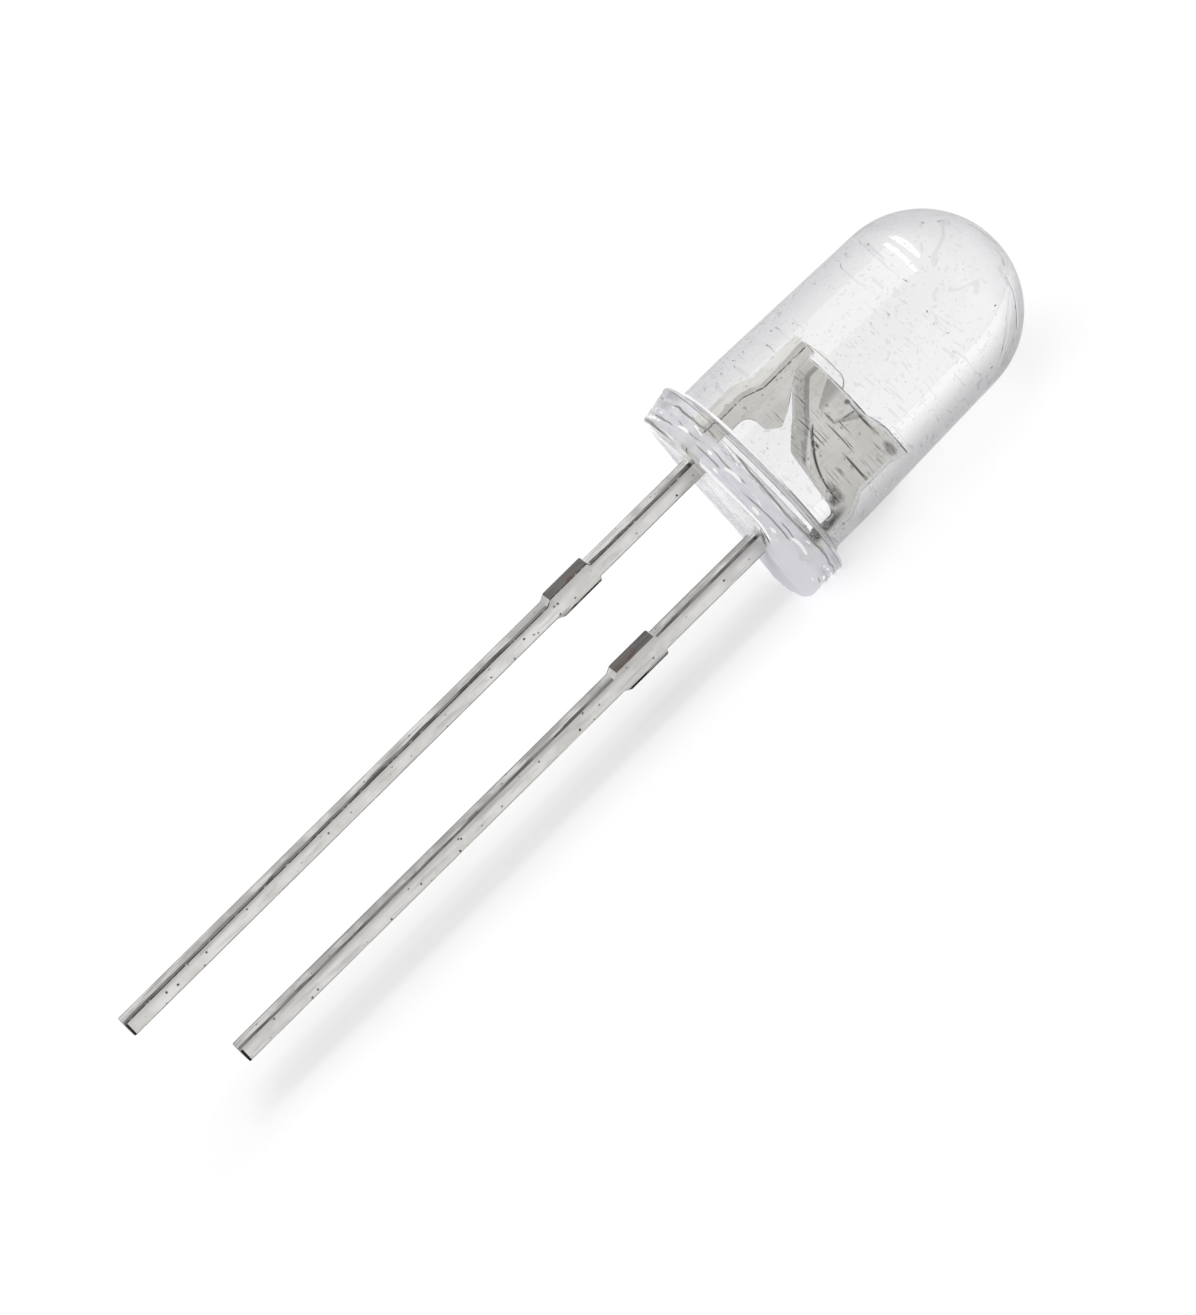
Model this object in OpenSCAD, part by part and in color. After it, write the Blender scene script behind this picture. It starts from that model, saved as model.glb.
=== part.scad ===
// 5 mm round through-hole LED with a water-clear lens, lying on the flat of its flange.
// The optical axis runs along +X, the leads leave along -X, and the origin is the middle
// of the seating face. Every piece is drawn upright (axis along Z, cathode towards +X of
// the drawing) and laid down by lying().

/* [Lens] */
// Diameter of the lens where it leaves the flange
lens_d = 5.0; // [4.7:0.05:5.4]
// Height of the epoxy body from the seating face to the tip of the dome
body_h = 8.8; // [7.6:0.05:10]
// Length of the parallel land above the flange, which a panel hole grips
land_len = 1.2; // [0.6:0.1:2]
// Mould draft of the lens wall above the land, in degrees on each side
lens_draft = 1.5; // [0.5:0.25:2.5]

/* [Flange] */
// Diameter of the flange
flange_d = 5.8; // [5.6:0.05:6.4]
// Thickness of the flange
flange_h = 1.0; // [0.7:0.05:1.5]
// How far the flat that marks the cathode stands out from the lens wall
flat_stand = 0.02; // [0.01:0.01:0.15]
// Edge radius of the flange
flange_edge_r = 0.12; // [0.05:0.01:0.2]

/* [Base] */
// Width of the flat rim round the base, which seats on the board
rim_w = 0.3; // [0.2:0.05:0.6]
// Depth of the hollow that the potting meniscus leaves inside the rim
dish_depth = 0.14; // [0.05:0.01:0.3]
// How far the epoxy spreads round each lead where it climbs it
climb_w = 0.16; // [0.08:0.02:0.3]

/* [Leads] */
// Thickness of the lead-frame sheet
sheet_t = 0.5; // [0.4:0.05:0.55]
// Width of each lead across the sheet
lead_w = 0.4; // [0.35:0.05:0.5]
// Distance between the two leads
pitch = 2.54; // [2.4:0.02:2.6]
// Length of the cathode lead below the seating face
cathode_len = 16.75; // [8:0.25:30]
// How much longer the anode lead is
anode_extra = 1.5; // [0.5:0.25:3]

/* [Tie bar stubs] */
// Distance from the seating face to the stubs of the cut tie bar
stub_drop = 3.27; // [1.5:0.01:5]
// Length of a stub along the lead
stub_len = 1.17; // [0.8:0.01:1.8]
// How far a stub stands out on each side of its lead
stub_out = 0.1; // [0.05:0.01:0.2]
// Length of the root that blends a stub into its lead, on the tip side
stub_root = 0.18; // [0.1:0.02:0.3]

/* [Anvil] */
// Height of the cup's rim, at the anvil's top, above the seating face
anvil_h = 3.71; // [3.4:0.01:4.4]
// Reach of the anvil from the optical axis towards the post
anvil_reach = 0.72; // [0.66:0.02:0.76]
// Height of the anvil's upright nose under its top
nose_h = 0.35; // [0.2:0.05:0.4]
// How far the anvil's shoulder rises above the cup's rim
shoulder_rise = 0.15; // [0.04:0.01:0.2]
// Height of the anvil's underside where it meets the cathode neck
underside_z = 1.7; // [1.5:0.02:2]
// How much higher the heel of the anvil's underside lies than that
heel_rise = 0.22; // [0.1:0.02:0.5]
// How far the heel lies from the optical axis
heel_out = 0.38; // [0.3:0.01:0.5]
// How far the notch under the anvil cuts into the cathode neck
notch_in = 0.18; // [0.06:0.02:0.22]
// Height of the notch's lower end above the seating face
notch_z = 0.4; // [0.3:0.02:0.8]
// How far the frame's outer edges step in above the necks
neck_inset = 0.2; // [0.1:0.02:0.24]
// Height of the foot of that step above the seating face
step_z = 1.94; // [1.8:0.02:2.2]
// Length of that step along the frame
step_len = 0.5; // [0.3:0.05:0.7]
// How far the anvil's outer corner flares out again at the top
flare = 0.09; // [0:0.01:0.15]

/* [Post] */
// How far the post's head stands above the cup's rim
post_rise = 0.14; // [0:0.02:0.3]
// Width of the head that takes the wire
head_w = 0.25; // [0.2:0.01:0.35]
// Reach of the post's toe from the anode neck towards the anvil
toe_reach = 0.67; // [0.4:0.01:0.7]
// Height of the toe's underside above the seating face
toe_z = 1.76; // [1.6:0.02:2]
// Height of the toe's tip above its underside
toe_end = 0.36; // [0.3:0.02:0.4]
// Radius between the toe's underside and the anode neck
toe_root_r = 0.3; // [0.1:0.02:0.34]
// Height over which the toe's back slopes in to the head
toe_back = 1.13; // [0.9:0.01:1.3]

/* [Reflector cup] */
// Inside diameter of the cup at its rim
cup_d = 0.9; // [0.76:0.02:0.94]
// Depth of the cup
cup_depth = 0.36; // [0.32:0.02:0.42]
// Inside diameter of the cup's floor
floor_d = 0.54; // [0.5:0.02:0.6]
// Width of the cup's rim
cup_rim_w = 0.1; // [0.06:0.01:0.12]
// Height of the cone that the cup's wall pushes out of the sheet
bulge_h = 0.7; // [0.6:0.05:0.9]
// Radius of that cone's blunt foot
bulge_foot_r = 0.31; // [0.28:0.01:0.34]

/* [Chip] */
// Side of the square chip
chip_w = 0.3; // [0.24:0.01:0.34]
// Height of the chip
chip_h = 0.2; // [0.14:0.01:0.24]
// Diameter of the gold pad on the chip
pad_d = 0.11; // [0.08:0.01:0.14]
// Thickness of the gold pad
pad_t = 0.01; // [0.006:0.002:0.016]
// Thickness of the silver epoxy under the chip
glue_t = 0.03; // [0.02:0.005:0.05]
// Height to which the silver epoxy wets the chip's sides
glue_climb = 0.05; // [0.02:0.01:0.08]

/* [Bond wire] */
// Diameter of the gold wire
wire_d = 0.03; // [0.02:0.005:0.04]
// Diameter of the ball on the pad
ball_d = 0.075; // [0.05:0.005:0.078]
// Height of the ball
ball_h = 0.035; // [0.025:0.005:0.05]
// How far the loop rises above the post's head
loop_rise = 0.1; // [0.08:0.01:0.3]

/* [Hidden] */

$fn = 96;
corner_steps = 5;      // straight pieces in a rounded corner of the stamped outlines
wire_sides = 8;
wire_steps = 14;       // rings along the bond wire
past = 1;              // how far a cutting shape runs past what it cuts
corner_r = 0.04;       // usual corner of the stamped sheet
blend_r = 0.14;        // larger blends under the toe and the anvil

lens_r = lens_d / 2;
flange_r = flange_d / 2;
land_top = flange_h + land_len;
flat_x = lens_r + flat_stand;

// The dome is the sphere that ends at body_h and meets the drafted wall without a step.
dome_r = (lens_r - (body_h - land_top) * tan(lens_draft))
    / (1 / cos(lens_draft) - tan(lens_draft));
dome_z = body_h - dome_r;
wall_top = dome_z + dome_r * sin(lens_draft);

dish_r = flange_r - flange_edge_r - rim_w;
dish_ball_r = (dish_r * dish_r + dish_depth * dish_depth) / (2 * dish_depth);

anode_x = -pitch / 2;
cathode_x = pitch / 2;
anode_len = cathode_len + anode_extra;
neck_edge = pitch / 2 + lead_w / 2;
frame_edge = neck_edge - neck_inset;
notch_x = pitch / 2 - lead_w / 2 + notch_in;
step_top = step_z + step_len;
anvil_chin = anvil_h - nose_h;
heel_z = underside_z + heel_rise;
post_top = anvil_h + post_rise;
post_x = head_w / 2 - frame_edge;
toe_x = anode_x + lead_w / 2 + toe_reach;
toe_tip_z = toe_z + toe_end;
toe_waist = 0.21;      // how much of the toe's reach its back gives up at first

cup_floor = anvil_h - cup_depth;
cup_outer_r = cup_d / 2 + cup_rim_w;
chip_z = cup_floor + glue_t;
chip_top = chip_z + chip_h;
pad_top = chip_top + pad_t;
ball_top = pad_top + ball_h;
loop_top = post_top + loop_rise;

// Stamped outlines are lists of corners [x, z, corner radius].

function unit(v) = v / norm(v);
function flat_of(p) = [p[0], p[1]];
function turn_between(a, b) = (b - a + 540) % 360 - 180;

function round_corner(before, here, after, r) =
    let (
        to_before = unit(flat_of(before) - flat_of(here)),
        to_after = unit(flat_of(after) - flat_of(here)),
        half = acos(to_before * to_after) / 2,
        centre = flat_of(here) + unit(to_before + to_after) * r / sin(half),
        first = flat_of(here) + to_before * r / tan(half) - centre,
        last = flat_of(here) + to_after * r / tan(half) - centre,
        start = atan2(first[1], first[0]),
        sweep = turn_between(start, atan2(last[1], last[0]))
    )
    [for (i = [0:corner_steps])
        let (a = start + sweep * i / corner_steps) centre + r * [cos(a), sin(a)]];

function rounded(corners) =
    let (n = len(corners))
    [for (i = [0:n - 1])
        each round_corner(corners[(i + n - 1) % n], corners[i], corners[(i + 1) % n],
                          corners[i][2])];

// One side of a lead from its tip up to the seating face, at side -1 or +1 of its middle.
function lead_side(x, side, length) =
    let (
        edge = x + side * lead_w / 2,
        stub = edge + side * stub_out,
        stub_end = -stub_drop - stub_len
    )
    [
        [edge, -length, corner_r],
        [edge, stub_end - stub_root, stub_out],
        [stub, stub_end, corner_r],
        [stub, -stub_drop, corner_r],
        [edge, -stub_drop + stub_out / 2, corner_r / 2]
    ];

function backwards(list) = [for (i = [len(list) - 1:-1:0]) list[i]];

module lying() {
    rotate([0, 90, 0]) children();
}

// Blanks the outline out of the sheet: drawn in X and Z, sheet_t thick along Y.
module stamped(corners) {
    rotate([90, 0, 0])
        linear_extrude(sheet_t, center = true)
            polygon(rounded(corners));
}

module anode_frame() {
    inner_neck = anode_x + lead_w / 2;
    head_edge = head_w - frame_edge;
    stamped(concat(
        lead_side(anode_x, -1, anode_len),
        [
            [-neck_edge, step_z, blend_r],
            [-frame_edge, step_top, blend_r],
            [-frame_edge, post_top, corner_r],
            [head_edge, post_top, corner_r],
            [head_edge, toe_tip_z + toe_back, blend_r],
            [toe_x - toe_waist * toe_reach, toe_tip_z + 0.3 * toe_back, blend_r],
            [toe_x, toe_tip_z, 1.5 * corner_r],
            [toe_x - toe_end / 2, toe_z + corner_r, blend_r],
            [inner_neck, toe_z, toe_root_r]
        ],
        backwards(lead_side(anode_x, 1, anode_len))
    ));
}

module cathode_frame() {
    inner_neck = cathode_x - lead_w / 2;
    shoulder_z = anvil_h + shoulder_rise;
    stamped(concat(
        lead_side(cathode_x, -1, cathode_len),
        [
            [inner_neck, notch_z, corner_r],
            [notch_x, notch_z + notch_in, blend_r],
            [notch_x, underside_z, blend_r],
            [heel_out, heel_z, blend_r],
            [-0.07 * anvil_reach, heel_z + 0.44 * (anvil_chin - heel_z), blend_r],
            [-anvil_reach, anvil_chin, blend_r],
            [-anvil_reach, anvil_h, corner_r],
            [cup_outer_r, anvil_h, corner_r],
            [cup_outer_r + 2 * shoulder_rise, shoulder_z, corner_r],
            [frame_edge + flare, shoulder_z, corner_r],
            [frame_edge, anvil_chin, blend_r],
            [frame_edge, step_top, blend_r],
            [neck_edge, step_z, blend_r]
        ],
        backwards(lead_side(cathode_x, 1, cathode_len))
    ));
}

// The cup is pressed down into the anvil's top, and its wall bulges out of both faces.
module cup_bulge() {
    translate([0, 0, anvil_h - bulge_h])
        cylinder(h = bulge_h, r1 = bulge_foot_r, r2 = cup_outer_r);
}

module cup_hollow() {
    slope = (cup_d - floor_d) / 2 / cup_depth;
    translate([0, 0, cup_floor])
        cylinder(h = cup_depth + past, d1 = floor_d, r2 = cup_d / 2 + slope * past);
}

module anode_lead() {
    color("silver") anode_frame();
}

module cathode_lead() {
    color("silver")
        difference() {
            union() {
                cathode_frame();
                cup_bulge();
            }
            cup_hollow();
        }
}

module chip_block() {
    translate([-chip_w / 2, -chip_w / 2, chip_z])
        cube([chip_w, chip_w, chip_h]);
}

module glue_mound() {
    slope = (cup_d - floor_d) / 2 / cup_depth;
    mound_h = glue_t + glue_climb;
    translate([0, 0, cup_floor])
        cylinder(h = mound_h, r1 = floor_d / 2, r2 = floor_d / 2 + slope * mound_h);
}

module die_attach() {
    color("gainsboro")
        difference() {
            glue_mound();
            chip_block();
        }
}

module led_chip() {
    color("goldenrod") chip_block();
}

module chip_pad() {
    color("gold")
        translate([0, 0, chip_top])
            cylinder(h = pad_t, d = pad_d);
}

// The wire's middle line, from the ball on the pad up and over to the post's head: it
// leaves the ball straight up and comes down on the head at a slant.
wire_points = [
    [0, ball_top - ball_h / 2],
    [0, ball_top + 0.3 * (loop_top - ball_top)],
    [0.12 * post_x, loop_top - 0.25 * loop_rise],
    [0.3 * post_x, loop_top],
    [0.55 * post_x, loop_top - 0.1 * loop_rise],
    [0.8 * post_x, post_top + 0.55 * loop_rise],
    [post_x, post_top + wire_d * 0.4]
];

function spline_at(p, k, t) =
    let (
        last = len(p) - 1,
        a = p[max(k - 1, 0)], b = p[k], c = p[k + 1], d = p[min(k + 2, last)]
    )
    0.5 * (2 * b + (c - a) * t + (2 * a - 5 * b + 4 * c - d) * t * t
        + (3 * b - a - 3 * c + d) * t * t * t);

function wire_at(s) =
    let (
        spans = len(wire_points) - 1,
        k = min(floor(s * spans), spans - 1)
    )
    spline_at(wire_points, k, s * spans - k);

module wire_sweep() {
    line = [for (i = [0:wire_steps]) wire_at(i / wire_steps)];
    rings = [for (i = [0:wire_steps])
        let (
            along = unit(line[min(i + 1, wire_steps)] - line[max(i - 1, 0)]),
            across = [-along[1], along[0]]
        )
        for (j = [0:wire_sides - 1])
            let (a = 360 * j / wire_sides, out = wire_d / 2 * cos(a))
            [line[i][0] + across[0] * out, wire_d / 2 * sin(a), line[i][1] + across[1] * out]];
    sides = [for (i = [0:wire_steps - 1], j = [0:wire_sides - 1])
        let (k = i * wire_sides, next = (j + 1) % wire_sides)
        [k + j, k + next, k + wire_sides + next, k + wire_sides + j]];
    first_cap = [for (j = [wire_sides - 1:-1:0]) j];
    last_cap = [for (j = [0:wire_sides - 1]) wire_steps * wire_sides + j];
    polyhedron(rings, concat(sides, [first_cap, last_cap]));
}

module bond_wire() {
    color("gold") {
        translate([0, 0, pad_top])
            cylinder(h = ball_h, d = ball_d, $fn = wire_sides);
        wire_sweep();
    }
}

module flange_profile() {
    e = flange_edge_r;
    square([flange_r - e, flange_h]);
    translate([0, e]) square([flange_r, flange_h - 2 * e]);
    translate([flange_r - e, e]) circle(r = e);
    translate([flange_r - e, flange_h - e]) circle(r = e);
}

module flange() {
    difference() {
        rotate_extrude() flange_profile();
        translate([flat_x, -flange_r, -past])
            cube([flange_r, flange_d, flange_h + past]);
    }
}

module lens_form() {
    translate([0, 0, flange_h - land_len / 2])
        cylinder(h = 1.5 * land_len, r = lens_r);
    translate([0, 0, land_top])
        cylinder(h = wall_top - land_top, r1 = lens_r, r2 = dome_r * cos(lens_draft));
    translate([0, 0, dome_z]) sphere(r = dome_r);
}

module meniscus_dish() {
    difference() {
        translate([0, 0, dish_depth - dish_ball_r]) sphere(r = dish_ball_r);
        for (x = [anode_x, cathode_x])
            translate([x, 0, 0])
                cylinder(h = dish_depth + past,
                         r1 = sheet_t / 2 + climb_w / 2,
                         r2 = sheet_t / 2 + climb_w / 2 + (dish_depth + past) * 2);
    }
}

module embedded_pieces() {
    anode_lead();
    cathode_lead();
    glue_mound();
    chip_block();
    chip_pad();
    bond_wire();
}

module lens() {
    color("lavender", 0.4)
        difference() {
            union() {
                flange();
                lens_form();
            }
            meniscus_dish();
            embedded_pieces();
        }
}

lying() lens();
lying() anode_lead();
lying() cathode_lead();
lying() die_attach();
lying() led_chip();
lying() chip_pad();
lying() bond_wire();
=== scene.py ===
"""Looks of a clear 5 mm through-hole LED that lies on the flat of its flange.

The frame gives the place and size of every piece. This script replaces the plain lens, leads
and bond wire with detailed meshes of the same form, gives every surface its finish, and sets
the floor, the light and the camera.
"""

import logging
import math
from dataclasses import dataclass
from enum import Enum
from functools import cached_property
from typing import ClassVar

import bmesh
import bpy
from mathutils import Matrix, Vector, noise


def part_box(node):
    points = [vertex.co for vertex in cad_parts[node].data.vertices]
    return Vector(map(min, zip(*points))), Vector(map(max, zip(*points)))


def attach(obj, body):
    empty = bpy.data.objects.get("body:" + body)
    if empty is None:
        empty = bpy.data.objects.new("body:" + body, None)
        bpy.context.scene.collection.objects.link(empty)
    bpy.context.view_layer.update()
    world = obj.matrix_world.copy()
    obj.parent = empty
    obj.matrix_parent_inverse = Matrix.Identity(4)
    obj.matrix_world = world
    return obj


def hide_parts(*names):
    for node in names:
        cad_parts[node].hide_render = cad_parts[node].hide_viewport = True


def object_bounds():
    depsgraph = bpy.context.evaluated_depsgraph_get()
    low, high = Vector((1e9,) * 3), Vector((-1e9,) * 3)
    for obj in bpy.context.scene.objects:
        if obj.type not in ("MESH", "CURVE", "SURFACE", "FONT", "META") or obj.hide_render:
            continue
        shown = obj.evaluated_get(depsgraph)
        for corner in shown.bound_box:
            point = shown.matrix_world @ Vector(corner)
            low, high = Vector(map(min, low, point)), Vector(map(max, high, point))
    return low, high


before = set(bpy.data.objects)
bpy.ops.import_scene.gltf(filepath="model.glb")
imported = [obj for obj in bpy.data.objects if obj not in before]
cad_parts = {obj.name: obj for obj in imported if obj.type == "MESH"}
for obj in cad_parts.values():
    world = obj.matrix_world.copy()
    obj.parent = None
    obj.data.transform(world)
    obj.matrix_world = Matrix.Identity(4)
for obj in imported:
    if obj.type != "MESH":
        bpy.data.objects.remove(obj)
CAD_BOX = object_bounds()

MM = 0.001
BODY = "root"
WHITE = "FFFFFF"
LOG = logging.getLogger("led")

Socket = bpy.types.NodeSocket
Point = tuple[float, float]
Corner = tuple[float, float, float]
Feed = Socket | float | str | tuple | Vector | bpy.types.Material | None


class Polarity(Enum):
    """Which lead a piece belongs to, with the sign of its place across the axis."""

    ANODE = -1
    CATHODE = 1


class Slot(Enum):
    """The record's material slots, named in the log for the new pieces."""

    CLEAR_EPOXY = "clear_epoxy"
    TINNED_STEEL = "tinned_steel"
    SILVER_EPOXY = "silver_epoxy"
    CHIP_CRYSTAL = "chip_crystal"
    GOLD = "gold"


class Kind(Enum):
    """The kinds of node in use, each as its type name with its settings."""

    PLUS = ("ShaderNodeMath", {"operation": "ADD"})
    MINUS = ("ShaderNodeMath", {"operation": "SUBTRACT"})
    TIMES = ("ShaderNodeMath", {"operation": "MULTIPLY"})
    DIVIDED = ("ShaderNodeMath", {"operation": "DIVIDE"})
    LARGER = ("ShaderNodeMath", {"operation": "MAXIMUM"})
    SMALLER = ("ShaderNodeMath", {"operation": "MINIMUM"})
    UNSIGNED = ("ShaderNodeMath", {"operation": "ABSOLUTE"})
    ROOT = ("ShaderNodeMath", {"operation": "SQRT"})
    SIGN = ("ShaderNodeMath", {"operation": "SIGN"})
    VECTOR_MINUS = ("ShaderNodeVectorMath", {"operation": "SUBTRACT"})
    VECTOR_TIMES = ("ShaderNodeVectorMath", {"operation": "MULTIPLY"})
    SCALED = ("ShaderNodeVectorMath", {"operation": "SCALE"})
    DOT = ("ShaderNodeVectorMath", {"operation": "DOT_PRODUCT"})
    LENGTH = ("ShaderNodeVectorMath", {"operation": "LENGTH"})
    VECTOR = ("ShaderNodeCombineXYZ", {})
    PARTS = ("ShaderNodeSeparateXYZ", {})
    MAPPED = ("ShaderNodeMapping", {})
    SOFT_STEP = ("ShaderNodeMapRange", {"interpolation_type": "SMOOTHSTEP"})
    SPREAD = ("ShaderNodeMapRange", {})
    STOPS = ("ShaderNodeValToRGB", {})
    BLEND = ("ShaderNodeMix", {"data_type": "RGBA"})
    BETWEEN = ("ShaderNodeMix", {"data_type": "FLOAT"})
    COORDINATES = ("ShaderNodeTexCoord", {})
    FACING = ("ShaderNodeLayerWeight", {})
    RAYS = ("ShaderNodeLightPath", {})
    NOISE = ("ShaderNodeTexNoise", {})
    CELLS = ("ShaderNodeTexVoronoi", {})
    WAVES = ("ShaderNodeTexWave", {"bands_direction": "X"})
    BUMP = ("ShaderNodeBump", {})
    SURFACE = ("ShaderNodeBsdfPrincipled", {})
    MATT = ("ShaderNodeBsdfDiffuse", {})
    GLOW = ("ShaderNodeEmission", {})
    BOTH_SHADERS = ("ShaderNodeAddShader", {})
    SKY = ("ShaderNodeBackground", {})
    MATERIAL_OUTPUT = ("ShaderNodeOutputMaterial", {})
    WORLD_OUTPUT = ("ShaderNodeOutputWorld", {})
    GIVEN = ("NodeGroupInput", {})
    RESULT = ("NodeGroupOutput", {})
    RESAMPLED = ("GeometryNodeResampleCurve", {})
    CIRCLE = ("GeometryNodeCurvePrimitiveCircle", {})
    SWEPT = ("GeometryNodeCurveToMesh", {})
    BALL = ("GeometryNodeMeshUVSphere", {})
    DOT_MESH = ("GeometryNodeMeshIcoSphere", {})
    ROD = ("GeometryNodeMeshCylinder", {})
    PLACED = ("GeometryNodeTransform", {})
    SCATTERED = ("GeometryNodeDistributePointsOnFaces", {})
    RANDOM_VECTOR = ("FunctionNodeRandomValue", {"data_type": "FLOAT_VECTOR"})
    SHIFTED = ("GeometryNodeSetPosition", {})
    INSTANCES = ("GeometryNodeInstanceOnPoints", {})
    JOINED = ("GeometryNodeJoinGeometry", {})
    REALIZED = ("GeometryNodeRealizeInstances", {})
    DRESSED = ("GeometryNodeSetMaterial", {})


def laid(across: float, y: float, height: float) -> Vector:
    """Turns a place on the upright LED into the lying row frame.

    Args:
        across: distance from the axis towards the cathode, in millimetres.
        y: distance from the plane of the leads, in millimetres; the camera is at -y.
        height: distance from the seating face towards the dome, in millimetres.

    Returns:
        The same place in the row frame, in metres.
    """
    return Vector((height, y, -across)) * MM


def linear(hex_colour: str) -> tuple[float, float, float, float]:
    """Turns an sRGB hex colour into linear RGBA.

    Args:
        hex_colour: six hex digits, such as "D0CECC".

    Returns:
        Linear red, green and blue, and an alpha of 1.
    """
    parts = [int(hex_colour[i : i + 2], 16) / 255 for i in (0, 2, 4)]
    bright = [c / 12.92 if c <= 0.04045 else ((c + 0.055) / 1.055) ** 2.4 for c in parts]
    return (bright[0], bright[1], bright[2], 1.0)


def smooth(low: float, high: float, value: float) -> float:
    """Gives 0 below low, 1 above high, and a smooth rise between them."""
    t = min(1.0, max(0.0, (value - low) / (high - low)))
    return t * t * (3 - 2 * t)


def half_turn(angle: float) -> float:
    """Brings an angle into the range from minus to plus half a turn."""
    return (angle + math.pi) % (2 * math.pi) - math.pi


def near(angle: float, centre: float, spread: float) -> float:
    """Gives a soft bump, 1 at the centre angle and falling off by the spread."""
    return math.exp(-((half_turn(angle - centre) / spread) ** 2))


@dataclass
class Wiring:
    """A node tree in the making."""

    tree: bpy.types.NodeTree

    def add(self, kind: Kind, *feeds: Feed | list[Socket], **named: Feed) -> Socket | None:
        """Adds a node with its settings, constants and links.

        Args:
            kind: the kind of node.
            feeds: for its inputs in order, a value, a hex colour, or what feeds it: one
                socket or a list of them. Nothing leaves an input as it is.
            named: the same for inputs given by name, with _ for a space.

        Returns:
            The node's first output, or nothing if it has none.
        """
        type_name, settings = kind.value
        node = self.tree.nodes.new(type_name)
        for name, value in settings.items():
            setattr(node, name, value)
        inputs = [socket for socket in node.inputs if socket.enabled][: len(feeds)]
        inputs += [node.inputs[name.replace("_", " ")] for name in named]
        for socket, feed in zip(inputs, (*feeds, *named.values())):
            if isinstance(feed, (Socket, list)):
                for source in feed if isinstance(feed, list) else [feed]:
                    self.tree.links.new(source, socket)
            elif feed is not None:
                socket.default_value = linear(feed) if isinstance(feed, str) else feed
        return next((socket for socket in node.outputs if socket.enabled), None)


@dataclass
class Paint(Wiring):
    """A finish in the making. It is drawn on object coordinates, in millimetres.

    An area is drawn by its limits. Each limit is an amount, or a value with the level where
    its amount is 0 and the level where it is 1, or with the two levels and their own amounts.
    """

    @cached_property
    def coordinates(self) -> bpy.types.NodeOutputs:
        """The outputs that say where on the piece the eye looks."""
        return self.add(Kind.COORDINATES).node.outputs

    @cached_property
    def place(self) -> Socket:
        """The place on the piece, in millimetres."""
        return self.add(Kind.SCALED, self.coordinates["Object"], 1 / MM)

    @cached_property
    def parts(self) -> tuple[Socket, ...]:
        """The X, Y and Z parts of the place."""
        return tuple(self.add(Kind.PARTS, self.place).node.outputs)

    @cached_property
    def faced(self) -> tuple[Socket, ...]:
        """The X, Y and Z parts of the direction that the surface faces."""
        return tuple(self.add(Kind.PARTS, self.coordinates["Normal"]).node.outputs)

    def gathered(self, kind: Kind, limits: tuple[Feed, ...]) -> Socket:
        """Draws areas and joins their amounts, one after another.

        Args:
            kind: how two amounts are joined.
            limits: the areas' limits.

        Returns:
            The joined amount.
        """
        whole = None
        for limit in limits:
            amount = self.add(Kind.SOFT_STEP, *limit) if isinstance(limit, tuple) else limit
            whole = amount if whole is None else self.add(kind, whole, amount)
        return whole

    def where(self, *limits: Feed) -> Socket:
        """Draws the area where every limit holds, as the product of their amounts."""
        return self.gathered(Kind.TIMES, limits)

    def either(self, *limits: Feed) -> Socket:
        """Draws the area where any limit holds, as the largest of their amounts."""
        return self.gathered(Kind.LARGER, limits)

    def tinted(self, under: Feed, over: Feed, *limits: Feed) -> Socket:
        """Lays a colour over another in the area where every limit holds."""
        return self.add(Kind.BLEND, self.where(*limits), under, over)

    def graded(self, level: Socket, first: tuple[float, Feed], last: tuple[float, Feed]) -> Socket:
        """Gives a colour that goes from one to another as a level rises.

        Args:
            level: the level.
            first: the level up to which the first colour shows, with the colour.
            last: the level from which the last colour shows, with the colour.

        Returns:
            The colour.
        """
        return self.add(Kind.BLEND, self.add(Kind.SPREAD, level, first[0], last[0]), first[1], last[1])

    def uneven(self, value: Feed, pattern: Socket, by: float) -> Socket:
        """Makes a value waver.

        Args:
            value: the value.
            pattern: the noise that it wavers by, around a half.
            by: how far it wavers for all of the noise.

        Returns:
            The wavering value.
        """
        waver = self.add(Kind.TIMES, self.add(Kind.MINUS, pattern, 0.5), by)
        return self.add(Kind.PLUS, waver, value)


class Finish:
    """What a surface is made of, and how it was made."""

    name: ClassVar[str]

    def paint(self, at: Paint) -> dict[str, Feed]:
        """Draws the finish and gives what feeds the surface's inputs, by name."""
        raise NotImplementedError

    def surface(self, at: Paint) -> Socket:
        """Gives the surface that the light falls on."""
        return at.add(Kind.SURFACE, **self.paint(at))

    def build(self) -> bpy.types.Material:
        """Makes the material.

        Returns:
            The finished material.
        """
        material = bpy.data.materials.new(self.name)
        material.use_nodes = True
        material.node_tree.nodes.clear()
        at = Paint(material.node_tree)
        at.add(Kind.MATERIAL_OUTPUT, self.surface(at))
        return material


@dataclass(frozen=True)
class Scar:
    """A scar that the mould drew on the dome's near side, where a plane cuts it.

    The plane is given by its direction and its distance from the origin. Lengths are in
    millimetres, and the scar runs from start to end along Z.
    """

    normal: Corner
    offset: float
    start: float
    end: float
    depth: float = 1.0
    half_width: float = 0.06
    ragged: float = 0.14
    ragged_cell: float = 0.3

    def drawn(self, at: Paint) -> Socket:
        """Draws the scar.

        Args:
            at: the finish in the making.

        Returns:
            The scar's depth in the scar, 0 elsewhere.
        """
        x, y, z = at.parts
        patches = at.add(Kind.NOISE, at.place, 1 / self.ragged_cell, 2.0)
        cut = at.uneven(at.add(Kind.DOT, at.place, self.normal), patches, self.ragged)
        away = at.add(Kind.UNSIGNED, at.add(Kind.MINUS, cut, self.offset))
        ends = (z, self.start, self.start - 0.15), (z, self.end, self.end + 0.2)
        return at.where((away, self.half_width, 0.0), *ends, (y, 0.3, 0.1), (x, 6.6, 6.8), self.depth)


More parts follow.
